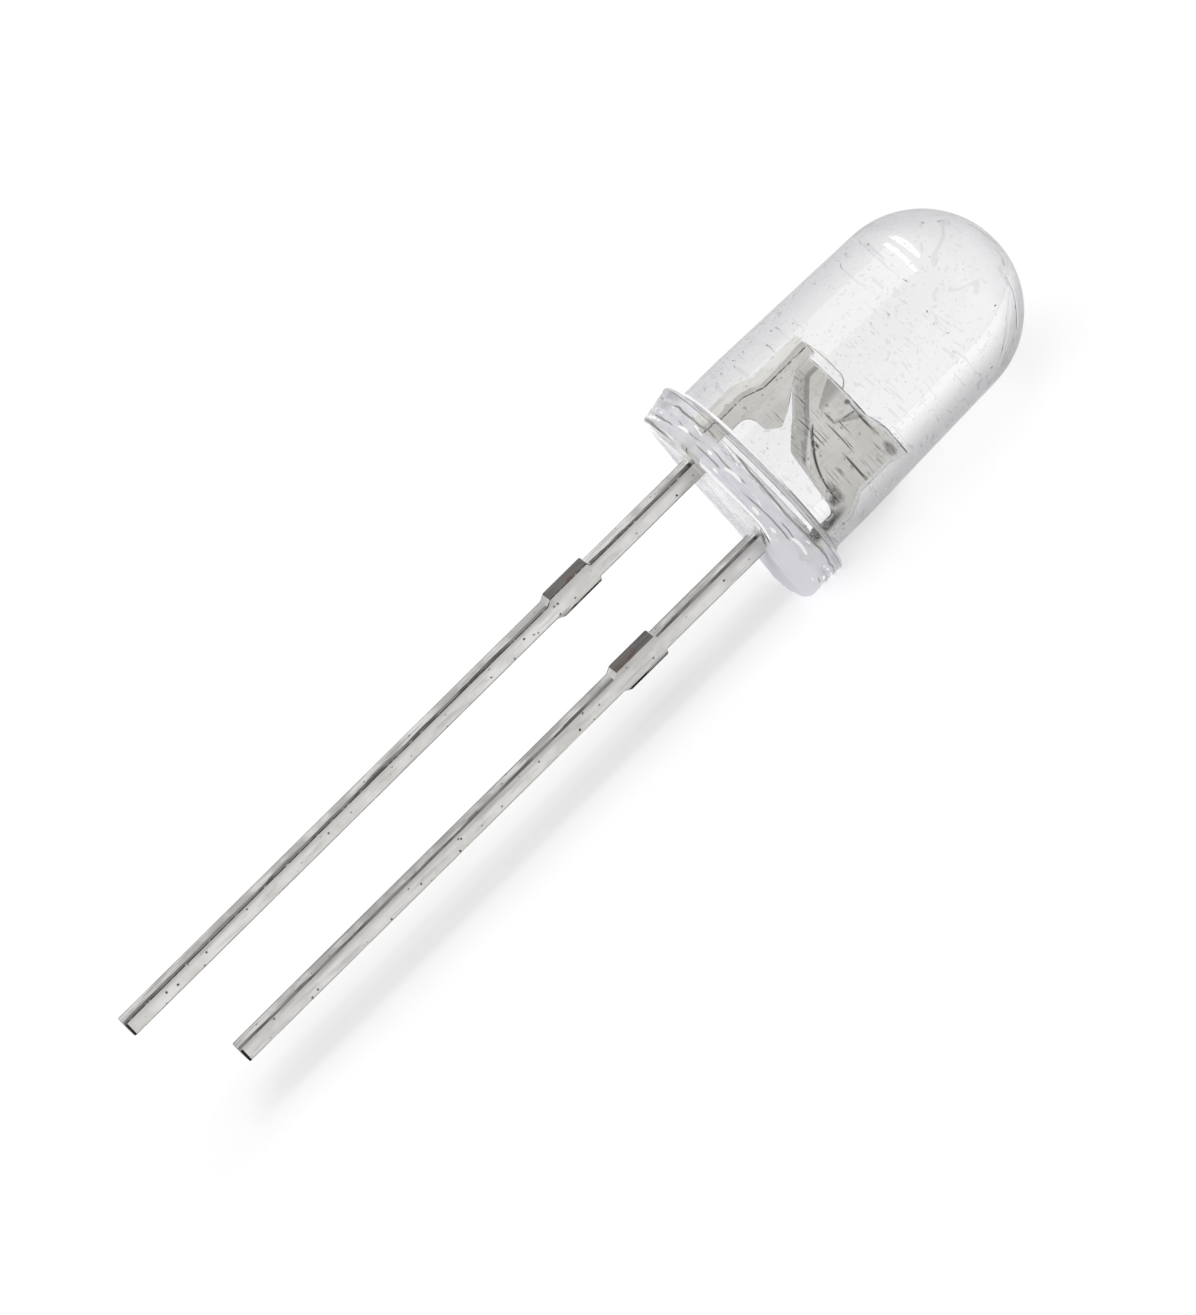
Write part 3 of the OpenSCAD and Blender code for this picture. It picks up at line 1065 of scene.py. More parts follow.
def meshed(name: str, form: bmesh.types.BMesh) -> bpy.types.Mesh:
    """Turns a mesh in the making into a finished one.

    Args:
        name: the mesh's name.
        form: the mesh in the making, which is freed.

    Returns:
        The mesh.
    """
    mesh = bpy.data.meshes.new(name)
    form.to_mesh(mesh)
    form.free()
    return mesh


def revolved(form: bmesh.types.BMesh, sections: list[list[Point]]) -> list[list[bmesh.types.BMVert]]:
    """Sweeps sections round the axis into a skin.

    Args:
        form: the mesh in the making.
        sections: the section at each of the evenly spaced angles, as radius and height.

    Returns:
        The points at each angle.
    """
    lines = []
    for k, section in enumerate(sections):
        angle = math.tau * k / len(sections)
        across, front = math.cos(angle), math.sin(angle)
        lines.append([form.verts.new(laid(r * across, -r * front, h)) for r, h in section])
    for here, there in zip(lines, lines[1:] + lines[:1]):
        for i in range(len(here) - 1):
            form.faces.new((here[i], here[i + 1], there[i + 1], there[i]))
    return lines


def evaluated(piece: bpy.types.Object) -> bpy.types.Mesh:
    """Gives the piece's mesh with its modifiers applied.

    Args:
        piece: the object.

    Returns:
        A new plain mesh.
    """
    bpy.context.view_layer.update()
    graph = bpy.context.evaluated_depsgraph_get()
    final = piece.evaluated_get(graph)
    return bpy.data.meshes.new_from_object(final, preserve_all_data_layers=True, depsgraph=graph)


def shade_smooth(mesh: bpy.types.Mesh, angle: float = math.radians(35)) -> None:
    """Shades the mesh smooth, with hard edges where faces meet at more than the angle."""
    mesh.shade_smooth()
    mesh.set_sharp_from_angle(angle=angle)


def open_tree(name: str, sizes: dict[str, float]) -> Wiring:
    """Opens a geometry node tree with named inputs.

    Args:
        name: the tree's name.
        sizes: the inputs' names and values; a whole number makes a whole-number input.

    Returns:
        The tree in the making.
    """
    tree = bpy.data.node_groups.new(name, "GeometryNodeTree")
    tree.interface.new_socket("Geometry", in_out="INPUT", socket_type="NodeSocketGeometry")
    for size, value in sizes.items():
        kind = "NodeSocketInt" if isinstance(value, int) else "NodeSocketFloat"
        tree.interface.new_socket(size, in_out="INPUT", socket_type=kind)
    tree.interface.new_socket("Geometry", in_out="OUTPUT", socket_type="NodeSocketGeometry")
    return Wiring(tree)


def run_tree(
    made: Wiring,
    pieces: list[Socket],
    material: bpy.types.Material,
    carrier: bpy.types.Object,
    sizes: dict[str, float],
) -> bpy.types.Mesh:
    """Ends a geometry node tree, runs it on an object and gives its result.

    Args:
        made: the tree in the making.
        pieces: the pieces that the tree has made.
        material: what they are made of.
        carrier: the object that carries the tree; it is removed afterwards.
        sizes: the tree's inputs by name.

    Returns:
        The result, as a plain mesh.
    """
    real = made.add(Kind.REALIZED, made.add(Kind.JOINED, pieces))
    made.add(Kind.RESULT, made.add(Kind.DRESSED, real, Material=material))
    modifier = carrier.modifiers.new(made.tree.name, "NODES")
    modifier.node_group = made.tree
    for item in made.tree.interface.items_tree:
        if item.in_out == "INPUT" and item.name in sizes:
            modifier[item.identifier] = sizes[item.name]
    mesh = evaluated(carrier)
    bpy.data.objects.remove(carrier)
    return mesh


def settle(piece: bpy.types.Object, slot: Slot, *nodes: str) -> None:
    """Lets a finished piece ride on the body and stand for its solids.

    Args:
        piece: the finished object.
        slot: the record's slot that it stands for, named in the log.
        nodes: the solids that it stands for.
    """
    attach(piece, BODY)
    if nodes:
        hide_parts(*nodes)
    LOG.info("%s: %d faces, %s", piece.name, len(piece.data.polygons), slot.value)


@dataclass(frozen=True)
class Lens:
    """The cast body: flange with its flat, parallel land, drafted wall and round dome.

    The free face of the potting, at the base, is uneven: it sags between the leads, swells
    beside the cathode and rounds off round its rim. All sizes are in millimetres.
    """

    height: float
    flange_radius: float
    flat: float
    radius: float = 2.5
    flange_height: float = 1.0
    land: float = 1.2
    draft: float = math.radians(1.75)
    edge: float = 0.1
    root: float = 0.14
    dish: float = 0.13
    swell: float = 0.24
    sink: float = 0.13
    taper: float = 0.15
    flat_blend: float = 0.02
    segments: int = 400
    base_rings: int = 64
    arc_steps: int = 8
    flange_rings: int = 44
    ripple: float = 0.02
    wall_rings: int = 26
    dome_rings: int = 44
    sink_at: float = math.radians(255)
    taper_at: float = math.radians(207)
    flash_at: float = math.radians(27)
    lead_across: float = 1.27
    lead_half: Point = (0.2, 0.25)
    climb: float = 0.07
    climb_reach: float = 0.09
    ripples: tuple[Corner, ...] = ((1.3, 3.7, 0.05), (3.1, 9.2, 0.018))

    def _limit(self, angle: float) -> float:
        """Gives the flange's radius at an angle, cut by the flat at the cathode side.

        Args:
            angle: angle from the cathode side.

        Returns:
            The radius.
        """
        toward = math.cos(angle)
        if toward < 0.3:
            return self.flange_radius
        cut = self.flat / toward
        k = self.flat_blend
        low = min(cut, self.flange_radius)
        high = max(cut, self.flange_radius)
        return low - k * math.log(1 + math.exp(-(high - low) / k))

    def _rim_level(self, angle: float) -> float:
        """Gives the height of the base's rim at an angle.

        Args:
            angle: angle from the cathode side.

        Returns:
            The height above the seating plane.
        """
        turn = half_turn(angle)
        swell = smooth(math.radians(100), math.radians(78), turn)
        swell *= smooth(math.radians(-60), math.radians(10), turn)
        return self.sink * near(angle, self.sink_at, 0.9) - self.swell * swell

    def _base_height(self, radius: float, angle: float, rim_radius: float) -> float:
        """Gives the height of the uneven base face.

        Args:
            radius: distance from the axis.
            angle: angle from the cathode side.
            rim_radius: the radius at which the base face ends.

        Returns:
            The height above the seating plane.
        """
        share = radius / rim_radius
        across, front = radius * math.cos(angle), radius * math.sin(angle)
        sag = self.dish * (1 - smooth(0.55, 1.0, share))
        level = self._rim_level(angle) * smooth(0.35, 1.0, share)
        ripple = 0.0
        for per_mm, layer, depth in self.ripples:
            ripple += noise.noise(Vector((across * per_mm, front * per_mm, layer))) * depth
        ripple *= 1 - smooth(0.8, 1.0, share) * 0.6
        climb = 0.0
        for side in Polarity:
            beside = max(0.0, abs(across - side.value * self.lead_across) - self.lead_half[0])
            gap = math.hypot(beside, max(0.0, abs(front) - self.lead_half[1]))
            climb += self.climb * math.exp(-gap / self.climb_reach)
        return sag + level + ripple - climb

    def _wave(self, angle: float, height: float) -> float:
        """Gives how deep the drawn waves lie in the flange's wall.

        Args:
            angle: angle from the cathode side.
            height: height above the seating face.

        Returns:
            The depth, from nothing to the full ripple.
        """
        ring = Vector((math.cos(angle), math.sin(angle), 0.0))
        bent = height + 0.14 * noise.noise(ring * 1.1 + Vector((4.0, 0.0, 1.0)))
        bent += 0.05 * noise.noise(ring * 3.0 + Vector((0.0, 8.0, 1.0)))
        long_wave = noise.noise(Vector((ring.x * 1.2, ring.y * 1.2, bent / 0.2)))
        short_wave = noise.noise(Vector((ring.x * 3.5, ring.y * 3.5, 7.0 + bent / 0.085)))
        return self.ripple * (0.5 + 0.7 * long_wave + 0.35 * short_wave)

    def _section(self, angle: float) -> list[Point]:
        """Gives the body's section at an angle, from the middle of the base to the dome's tip.

        Args:
            angle: angle from the cathode side.

        Returns:
            Pairs of radius and height, always the same number of them.
        """
        outer = self._limit(angle)
        room = max(outer - self.radius, 0.004)
        swollen = smooth(math.radians(100), math.radians(70), abs(half_turn(angle)))
        low_edge = min(self.edge + 0.2 * swollen * smooth(0.05, 0.3, room), 0.32)
        top_edge = min(self.edge, room * 0.45)
        root = min(self.root + 0.2 * near(angle, self.flash_at, 0.4), room - top_edge)
        foot = outer - self.taper * near(angle, self.taper_at, 0.8)
        rim = foot - low_edge
        points = []
        for i in range(1, self.base_rings + 1):
            share = i / self.base_rings
            radius = rim * share
            points.append((radius, self._base_height(radius, angle, rim)))
        level = points[-1][1]
        quarter = [math.pi / 2 * i / self.arc_steps for i in range(1, self.arc_steps + 1)]
        points += [(rim + low_edge * math.sin(t), level + low_edge * (1 - math.cos(t))) for t in quarter]
        start, end = level + low_edge, self.flange_height - top_edge
        for i in range(1, self.flange_rings + 1):
            share = i / self.flange_rings
            height = start + (end - start) * share
            wave = self._wave(angle, height) * smooth(0.0, 0.15, share) * smooth(1.0, 0.85, share)
            points.append((foot + (outer - foot) * share - wave * smooth(0.1, 0.3, room), height))
        points += [(outer - top_edge * (1 - math.cos(t)), end + top_edge * math.sin(t)) for t in quarter]
        land, top = self.radius, self.flange_height
        points += [(land + root * (1 - math.sin(t)), top + root * (1 - math.cos(t))) for t in quarter]
        return points + self._wall(top + root)

    def _wall(self, start: float) -> list[Point]:
        """Gives the land, the drafted wall and the dome above the flange.

        Args:
            start: the height at which the land leaves the root fillet.

        Returns:
            Pairs of radius and height.
        """
        land_top = self.flange_height + self.land
        tan, cos = math.tan(self.draft), math.cos(self.draft)
        dome = (self.radius - (self.height - land_top) * tan) / (1 / cos - tan)
        centre = self.height - dome
        wall_top = centre + dome * math.sin(self.draft)
        points = [(self.radius, start + (land_top - start) * i / 4) for i in range(1, 5)]
        for i in range(1, self.wall_rings + 1):
            height = land_top + (wall_top - land_top) * i / self.wall_rings
            points.append((self.radius - (height - land_top) * tan, height))
        for i in range(1, self.dome_rings):
            turn = self.draft + (math.pi / 2 - self.draft) * i / self.dome_rings
            points.append((dome * math.cos(turn), centre + dome * math.sin(turn)))
        return points

    def build(self, finish: CastEpoxy) -> bpy.types.Object:
        """Builds and dresses the lens.

        Args:
            finish: the epoxy's finish.

        Returns:
            The lens object.
        """
        form = bmesh.new()
        lines = revolved(form, [self._section(math.tau * k / self.segments) for k in range(self.segments)])
        base = form.verts.new(laid(0, 0, self._base_height(0.0, 0.0, 1.0)))
        tip = form.verts.new(laid(0, 0, self.height))
        for here, there in zip(lines, lines[1:] + lines[:1]):
            form.faces.new((base, here[0], there[0]))
            form.faces.new((tip, there[-1], here[-1]))
        bmesh.ops.recalc_face_normals(form, faces=form.faces)
        mesh = meshed("lens_clear", form)
        mesh.shade_smooth()
        mesh.materials.append(finish.build())
        piece = mesh_object("lens_clear", mesh)
        piece.visible_shadow = False
        settle(piece, Slot.CLEAR_EPOXY, "lens")
        return piece


@dataclass(frozen=True)
class LeadFrame:
    """The two stamped leads, with their tie bar stubs, post, anvil and reflector cup.

    All sizes are in millimetres. Outlines are lists of corners: across, height and radius.
    """

    tips: dict[Polarity, float]
    pitch: float = 2.54
    width: float = 0.4
    thickness: float = 0.5
    stub_drop: float = 3.27
    stub_length: float = 1.17
    stub_out: float = 0.1
    stub_root: float = 0.18
    corner: float = 0.04
    blend: float = 0.14
    rim_height: float = 3.71
    shoulder_rise: float = 0.15
    nose: float = 0.35
    reach: float = 0.72
    underside: float = 1.7
    heel_rise: float = 0.22
    heel_out: float = 0.38
    notch_in: float = 0.18
    notch_height: float = 0.4
    frame_edge: float = 1.27
    step_height: float = 1.94
    step_length: float = 0.5
    flare: float = 0.09
    head_rise: float = 0.14
    head_width: float = 0.25
    toe_reach: float = 0.67
    toe_height: float = 1.76
    toe_end: float = 0.36
    toe_root: float = 0.3
    toe_back: float = 1.13
    cup_rim_radius: float = 0.45
    cup_floor_radius: float = 0.27
    cup_depth: float = 0.36
    cup_wall: float = 0.1
    bulge_height: float = 0.7
    bulge_foot: float = 0.31
    back_drop: float = 0.08
    lip_depth: float = 0.035
    edge_round: float = 0.042
    edge_angle: float = math.radians(50)
    edge_steps: int = 3
    bend_across: float = 0.07
    bend_rise: float = 0.44
    toe_shift: float = 0.21
    toe_bend: float = 0.3
    cup_sides: int = 72
    tool_past: float = 0.3
    crease: tuple[Point, ...] = (
        (0.2, 0.43), (0.457, 0.205), (0.62, 0.1), (0.79, 0.045), (0.98, 0.01), (1.1, -0.1), (1.17, -0.3)
    )

    @property
    def head_height(self) -> float:
        """Height of the post's head, which takes the wire."""
        return self.rim_height + self.head_rise

    @property
    def chin(self) -> float:
        """Height at which the anvil's underside meets its nose and its outer side."""
        return self.rim_height - self.nose

    @property
    def heel(self) -> float:
        """Height at which the anvil's underside rises from its heel."""
        return self.underside + self.heel_rise

    @property
    def bend(self) -> Point:
        """Where the slanting underside bends, as its place across and its height."""
        return -self.bend_across * self.reach, self.heel + self.bend_rise * (self.chin - self.heel)

    def _side(self, polarity: Polarity, side: int) -> list[Corner]:
        """Gives one side of a lead, from its tip up past its stub.

        Args:
            polarity: which lead.
            side: -1 or 1, the side of the lead's middle.

        Returns:
            The side's corners.
        """
        edge = polarity.value * self.pitch / 2 + side * self.width / 2
        stub = edge + side * self.stub_out
        low = -self.stub_drop - self.stub_length
        return [
            (edge, -self.tips[polarity], self.corner),
            (edge, low - self.stub_root, self.stub_out),
            (stub, low, self.corner),
            (stub, -self.stub_drop, self.corner),
            (edge, -self.stub_drop + self.stub_out / 2, self.corner / 2),
        ]

    def _anode(self) -> list[Corner]:
        """Gives the anode's outline, with the post and its toe.

        Returns:
            The outline's corners.
        """
        neck = self.pitch / 2 - self.width / 2
        outer = self.pitch / 2 + self.width / 2
        head = self.head_width - self.frame_edge
        toe = self.toe_reach - neck
        tip = self.toe_height + self.toe_end
        return [
            *self._side(Polarity.ANODE, -1),
            (-outer, self.step_height, self.blend),
            (-self.frame_edge, self.step_height + self.step_length, self.blend),
            (-self.frame_edge, self.head_height, self.corner),
            (head, self.head_height, self.corner),
            (head, tip + self.toe_back, self.blend),
            (toe - self.toe_shift * self.toe_reach, tip + self.toe_bend * self.toe_back, self.blend),
            (toe, tip, 1.5 * self.corner),
            (toe - self.toe_end / 2, self.toe_height + self.corner, self.blend),
            (-neck, self.toe_height, self.toe_root),
            *reversed(self._side(Polarity.ANODE, 1)),
        ]

    def _cathode(self, drop: float = 0.0) -> list[Corner]:
        """Gives the cathode's outline, with the anvil.

        Args:
            drop: how far the punch drew the slanting underside down, at the back of the sheet.

        Returns:
            The outline's corners.
        """
        neck = self.pitch / 2 - self.width / 2
        outer = self.pitch / 2 + self.width / 2
        notch = neck + self.notch_in
        bend = self.bend
        cup = self.cup_rim_radius + self.cup_wall
        shoulder = self.rim_height + self.shoulder_rise
        return [
            *self._side(Polarity.CATHODE, -1),
            (neck, self.notch_height, self.corner),
            (notch, self.notch_height + self.notch_in, self.blend),
            (notch, self.underside, self.blend),
            (self.heel_out - 1.5 * drop, self.heel - 0.25 * drop, self.blend),
            (bend[0] - drop, bend[1] - drop, self.blend),
            (-self.reach, self.chin - 1.5 * drop, self.blend),
            (-self.reach, self.rim_height, self.corner),
            (cup, self.rim_height, self.corner),
            (cup + 2 * self.shoulder_rise, shoulder, self.corner),
            (self.frame_edge + self.flare, shoulder, self.corner),
            (self.frame_edge, self.chin, self.blend),
            (self.frame_edge, self.step_height + self.step_length, self.blend),
            (outer, self.step_height, self.blend),
            *reversed(self._side(Polarity.CATHODE, 1)),
        ]

    def _lip(self) -> list[Point]:
        """Gives the outline of the lip that the coining leaves under the anvil's front face.

        Returns:
            The outline's points.
        """
        across, height = self.bend
        below = self.heel - 0.6
        return [
            (across - 0.05, height + 0.06),
            *((place, self.heel + rise) for place, rise in self.crease),
            (self.crease[-1][0], below),
            (self.crease[0][0], below),
            (across - 0.3, height),
        ]

    def _rounded(self, corners: list[Corner], steps: int = 6) -> list[Vector]:
        """Rounds the corners of an outline.

        Args:
            corners: the outline's corners with their radii.
            steps: pieces in each rounded corner.

        Returns:
            The outline's points.
        """
        points = []
        for i, (across, height, radius) in enumerate(corners):
            here = Vector((across, height))
            before = (Vector(corners[i - 1][:2]) - here).normalized()
            after = (Vector(corners[(i + 1) % len(corners)][:2]) - here).normalized()
            half = before.angle(after) / 2
            centre = here + (before + after).normalized() * radius / math.sin(half)
            first = here + before * radius / math.tan(half) - centre
            last = here + after * radius / math.tan(half) - centre
            start = math.atan2(first.y, first.x)
            sweep = (math.atan2(last.y, last.x) - start + 3 * math.pi) % (2 * math.pi) - math.pi
            for k in range(steps + 1):
                turn = start + sweep * k / steps
                points.append(centre + Vector((math.cos(turn), math.sin(turn))) * radius)
        return points

    def _blank(
        self, name: str, front_line: list[Vector], back_line: list[Vector], front_y: float, back_y: float
    ) -> bpy.types.Object:
        """Cuts an outline out of the sheet, in millimetres, as an upright piece.

        Args:
            name: the new object's name.
            front_line: the outline's points on the front face.
            back_line: as many points on the back face.
            front_y: the front face's place across the sheet.
            back_y: the back face's place across the sheet.

        Returns:
            The blank.
        """
        form = bmesh.new()
        front = [form.verts.new((p[0], front_y, p[1])) for p in front_line]
        back = [form.verts.new((p[0], back_y, p[1])) for p in back_line]
        form.faces.new(front)
        form.faces.new(list(reversed(back)))
        for i in range(len(front)):
            j = (i + 1) % len(front)
            form.faces.new((front[i], back[i], back[j], front[j]))
        bmesh.ops.recalc_face_normals(form, faces=form.faces)
        return mesh_object(name, meshed(name, form))

    def _cone(self, name: str, low: float, high: float, foot: float, top: float) -> bpy.types.Object:
        """Makes an upright cone about the axis, in millimetres, for the cup.

        Args:
            name: the new object's name.
            low: the height of its lower end.
            high: the height of its upper end.
            foot: the radius of its lower end.
            top: the radius of its upper end.

        Returns:
            The cone.
        """
        form = bmesh.new()
        bmesh.ops.create_cone(
            form,
            cap_ends=True,
            segments=self.cup_sides,
            radius1=foot,
            radius2=top,
            depth=high - low,
            matrix=Matrix.Translation((0, 0, (low + high) / 2)),
        )
        return mesh_object(name, meshed(name, form))

    def _press_anvil(self, blank: bpy.types.Object) -> None:
        """Presses the cup into the anvil's top, its bulge out of the faces, and the lip below.

        Args:
            blank: the cathode's blank.
        """
        outer = self.cup_rim_radius + self.cup_wall
        low = self.rim_height - self.bulge_height
        bulge = self._cone("cup_bulge", low, self.rim_height, self.bulge_foot, outer)
        slope = (self.cup_rim_radius - self.cup_floor_radius) / self.cup_depth
        floor, past = self.rim_height - self.cup_depth, self.tool_past
        wide = self.cup_rim_radius + slope * past
        hollow = self._cone("cup_hollow", floor, self.rim_height + past, self.cup_floor_radius, wide)
        front = -self.thickness / 2
        lip = self._blank("anvil_lip", self._lip(), self._lip(), front - past, front + self.lip_depth)
        for tool, operation in ((lip, "DIFFERENCE"), (bulge, "UNION"), (hollow, "DIFFERENCE")):
            modifier = blank.modifiers.new(tool.name, "BOOLEAN")
            modifier.object = tool
            modifier.operation = operation
            modifier.solver = "EXACT"
        blank.data = evaluated(blank)
        blank.modifiers.clear()
        for tool in (lip, bulge, hollow):
            bpy.data.objects.remove(tool)

    def _round_edges(self, blank: bpy.types.Object) -> None:
        """Rounds the stamped edges, and brings the piece into the row frame.

        Args:
            blank: the stamped blank.
        """
        form = bmesh.new()
        form.from_mesh(blank.data)
        bmesh.ops.remove_doubles(form, verts=form.verts, dist=0.0005)
        form.to_mesh(blank.data)
        form.free()
        bevel = blank.modifiers.new("edge_round", "BEVEL")
        bevel.width = self.edge_round
        bevel.segments = self.edge_steps
        bevel.limit_method = "ANGLE"
        bevel.angle_limit = self.edge_angle
        bevel.use_clamp_overlap = True
        bevel.material = 1
        blank.data = evaluated(blank)
        blank.modifiers.clear()
        upright_to_row = Matrix(((0, 0, MM, 0), (0, MM, 0, 0), (-MM, 0, 0, 0), (0, 0, 0, 1)))
        blank.data.transform(upright_to_row)

    def build(self, plate: TinPlate, edge: BurnishedEdgeWithPaintedLight) -> list[bpy.types.Object]:
        """Builds and dresses both leads.

        Args:
            plate: the plating's finish.
            edge: the finish of the sheared edges.

        Returns:
            The two lead objects.
        """
        finishes = plate.build(), edge.build()
        half = self.thickness / 2
        pieces = []
        for node, front, back in (
            ("anode_lead", self._anode(), self._anode()),
            ("cathode_lead", self._cathode(), self._cathode(self.back_drop)),
        ):
            piece = self._blank(node + "_plated", self._rounded(front), self._rounded(back), -half, half)
            for material in finishes:
                piece.data.materials.append(material)
            if node == "cathode_lead":
                self._press_anvil(piece)
            self._round_edges(piece)
            shade_smooth(piece.data, math.radians(28))
            settle(piece, Slot.TINNED_STEEL, node)
            pieces.append(piece)
        return pieces


@dataclass(frozen=True)
class BondWire:
    """The gold wire from the chip's pad to the post, with its ball. Sizes are in millimetres."""

    pad_top: float
    post_top: float
    post_across: float
    diameter: float = 0.03
    ball_diameter: float = 0.075
    ball_height: float = 0.035
    loop_rise: float = 0.1
    sides: int = 12
    rings: int = 60

    def _points(self) -> list[Point]:
        """Gives the points that the loop passes through.

        Returns:
            Each point's place across and its height.
        """
        ball_top = self.pad_top + self.ball_height
        top = self.post_top + self.loop_rise
        end = self.post_across
        return [
            (0.0, ball_top - self.ball_height / 2),
            (0.0, ball_top + 0.3 * (top - ball_top)),
            (0.12 * end, top - 0.25 * self.loop_rise),
            (0.3 * end, top),
            (0.55 * end, top - 0.1 * self.loop_rise),
            (0.8 * end, self.post_top + 0.55 * self.loop_rise),
            (end, self.post_top + self.diameter * 0.4),
        ]

    def _guide(self) -> bpy.types.Object:
        """Makes the curve that the wire follows.

        Returns:
            The curve object.
        """
        line = bpy.data.curves.new("bond_wire_line", "CURVE")
        line.dimensions = "3D"
        spline = line.splines.new("BEZIER")
        points = self._points()
        spline.bezier_points.add(len(points) - 1)
        for knot, (across, height) in zip(spline.bezier_points, points):
            knot.co = laid(across, 0.0, height)
            knot.handle_left_type = knot.handle_right_type = "AUTO"
        return put(bpy.data.objects.new("bond_wire_line", line))

    def _pieces(self, made: Wiring) -> list[Socket]:
        """Draws the ball, and the wire as a sweep along its curve.

        Args:
            made: the tree in the making.

        Returns:
            The two pieces.
        """
        given = made.add(Kind.GIVEN).node.outputs
        path = made.add(Kind.RESAMPLED, given["Geometry"], Count=given["Rings"])
        ring = made.add(Kind.CIRCLE, self.sides, given["Wire Radius"])
        swept = made.add(Kind.SWEPT, path, Profile_Curve=ring, Fill_Caps=True)
        ball = made.add(Kind.BALL, 20, 12, given["Ball Radius"])
        half = made.add(Kind.TIMES, given["Ball Height"], 0.5)
        squash = made.add(Kind.DIVIDED, half, given["Ball Radius"])
        middle = made.add(Kind.VECTOR, made.add(Kind.PLUS, given["Pad Height"], half))
        scale = made.add(Kind.VECTOR, squash, 1.0, 1.0)
        return [made.add(Kind.PLACED, ball, Translation=middle, Scale=scale), swept]

    def build(self, material: bpy.types.Material) -> bpy.types.Object:
        """Builds and dresses the wire.

        Args:
            material: the gold finish.

        Returns:
            The wire object.
        """
        sizes = {
            "Wire Radius": self.diameter / 2 * MM,
            "Ball Radius": self.ball_diameter / 2 * MM,
            "Ball Height": self.ball_height * MM,
            "Pad Height": self.pad_top * MM,
            "Rings": self.rings,
        }
        made = open_tree("bond_wire_sweep", sizes)
        mesh = run_tree(made, self._pieces(made), material, self._guide(), sizes)
        shade_smooth(mesh)
        piece = mesh_object("bond_wire_gold", mesh)
        settle(piece, Slot.GOLD, "bond_wire")
        return piece


@dataclass(frozen=True)
class Flecks:
    """Specks and short fibres caught in the epoxy, scattered just under its skin.

    All sizes are in millimetres. Each kind of speck has its smallest and largest scale.
    """

    shell_high: float
    shell_radius: float = 2.3
    shell_low: float = 1.3
    shell_steps: int = 24
    shell_turns: int = 48
    dots_per_mm2: float = 3.0
    fibres_per_mm2: float = 0.35
    dot: float = 0.014
    dot_scales: tuple[Corner, Corner] = ((0.4, 0.4, 0.4), (1.5, 1.2, 1.0))
    fibre: float = 0.1
    fibre_scales: tuple[Corner, Corner] = ((0.6, 0.6, 0.3), (1.0, 1.0, 1.2))
    fibre_slimness: float = 0.05
    depth: float = 0.5
    seed: int = 11

    def _shell(self) -> bpy.types.Object:
        """Makes the inner shell that the specks are scattered on: a tube with a domed end.

        Returns:
            The shell object.
        """
        form = bmesh.new()
        middle = self.shell_high - self.shell_radius
        line = [(self.shell_radius, self.shell_low)]
        for i in range(self.shell_steps):
            turn = math.pi / 2 * i / self.shell_steps
            line.append((self.shell_radius * math.cos(turn), middle + self.shell_radius * math.sin(turn)))
        revolved(form, [line] * self.shell_turns)
        return mesh_object("fleck_shell", meshed("fleck_shell", form))

    def _scatter(
        self,
        made: Wiring,
        given: bpy.types.NodeOutputs,
        density: str,
        speck: Socket,
        scales: tuple[Corner, Corner],
    ) -> Socket:
        """Scatters one kind of speck over the shell and sinks each to its own depth.

        Args:
            made: the tree in the making.
            given: the tree's inputs.
            density: the input that says how many specks there are per square metre.
            speck: the speck's geometry.
            scales: the smallest and the largest scale.

        Returns:
            The specks, as instances.
        """
        seed = given["Seed"]
        points = made.add(Kind.SCATTERED, given["Geometry"], Density=given[density], Seed=seed).node.outputs
        deepest, level = (-self.depth * MM, 0.0, 0.0), (0.0, 0.0, 0.0)
        deep, turn, scale = (
            made.add(Kind.RANDOM_VECTOR, low, high, Seed=seed)
            for low, high in ((deepest, level), (level, (math.tau, math.tau, math.tau)), scales)
        )
        inward = made.add(Kind.SCALED, points["Normal"], made.add(Kind.PARTS, deep))
        sunk = made.add(Kind.SHIFTED, points["Points"], Offset=inward)
        return made.add(Kind.INSTANCES, sunk, Instance=speck, Rotation=turn, Scale=scale)

    def build(self, finish: Fleck) -> bpy.types.Object:
        """Builds and dresses the specks.

        Args:
            finish: the specks' finish.

        Returns:
            The specks, as one object.
        """
        sizes = {
            "Dot Density": self.dots_per_mm2 / MM**2,
            "Fibre Density": self.fibres_per_mm2 / MM**2,
            "Dot Radius": self.dot * MM,
            "Fibre Length": self.fibre * MM,
            "Seed": self.seed,
        }
        made = open_tree("fleck_scatter", sizes)
        given = made.add(Kind.GIVEN).node.outputs
        dot = made.add(Kind.DOT_MESH, given["Dot Radius"], 2)
        thin = made.add(Kind.TIMES, given["Fibre Length"], self.fibre_slimness)
        fibre = made.add(Kind.ROD, 5, Radius=thin, Depth=given["Fibre Length"])
        pieces = [
            self._scatter(made, given, "Dot Density", dot, self.dot_scales),
            self._scatter(made, given, "Fibre Density", fibre, self.fibre_scales),
        ]
        mesh = run_tree(made, pieces, finish.build(), self._shell(), sizes)
        piece = mesh_object("epoxy_flecks", mesh)
        settle(piece, Slot.CLEAR_EPOXY)
        return piece


@dataclass(frozen=True)
class Chip:
    """The chip in the cup with its gold pad and the silver epoxy that holds it."""

    crystal: ChipCrystal = ChipCrystal()
    glue: SilverEpoxy = SilverEpoxy()

    def build(self, gold: bpy.types.Material) -> None:
        """Dresses the solids that the frame already holds.

        Args:
            gold: the gold finish, for the pad.
        """
        for node, material, slot in (
            ("led_chip", self.crystal.build(), Slot.CHIP_CRYSTAL),
            ("die_attach", self.glue.build(), Slot.SILVER_EPOXY),
            ("chip_pad", gold, Slot.GOLD),
        ):
            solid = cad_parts[node]
            solid.data.materials.clear()
            solid.data.materials.append(material)
            LOG.info("%s: dressed", node)


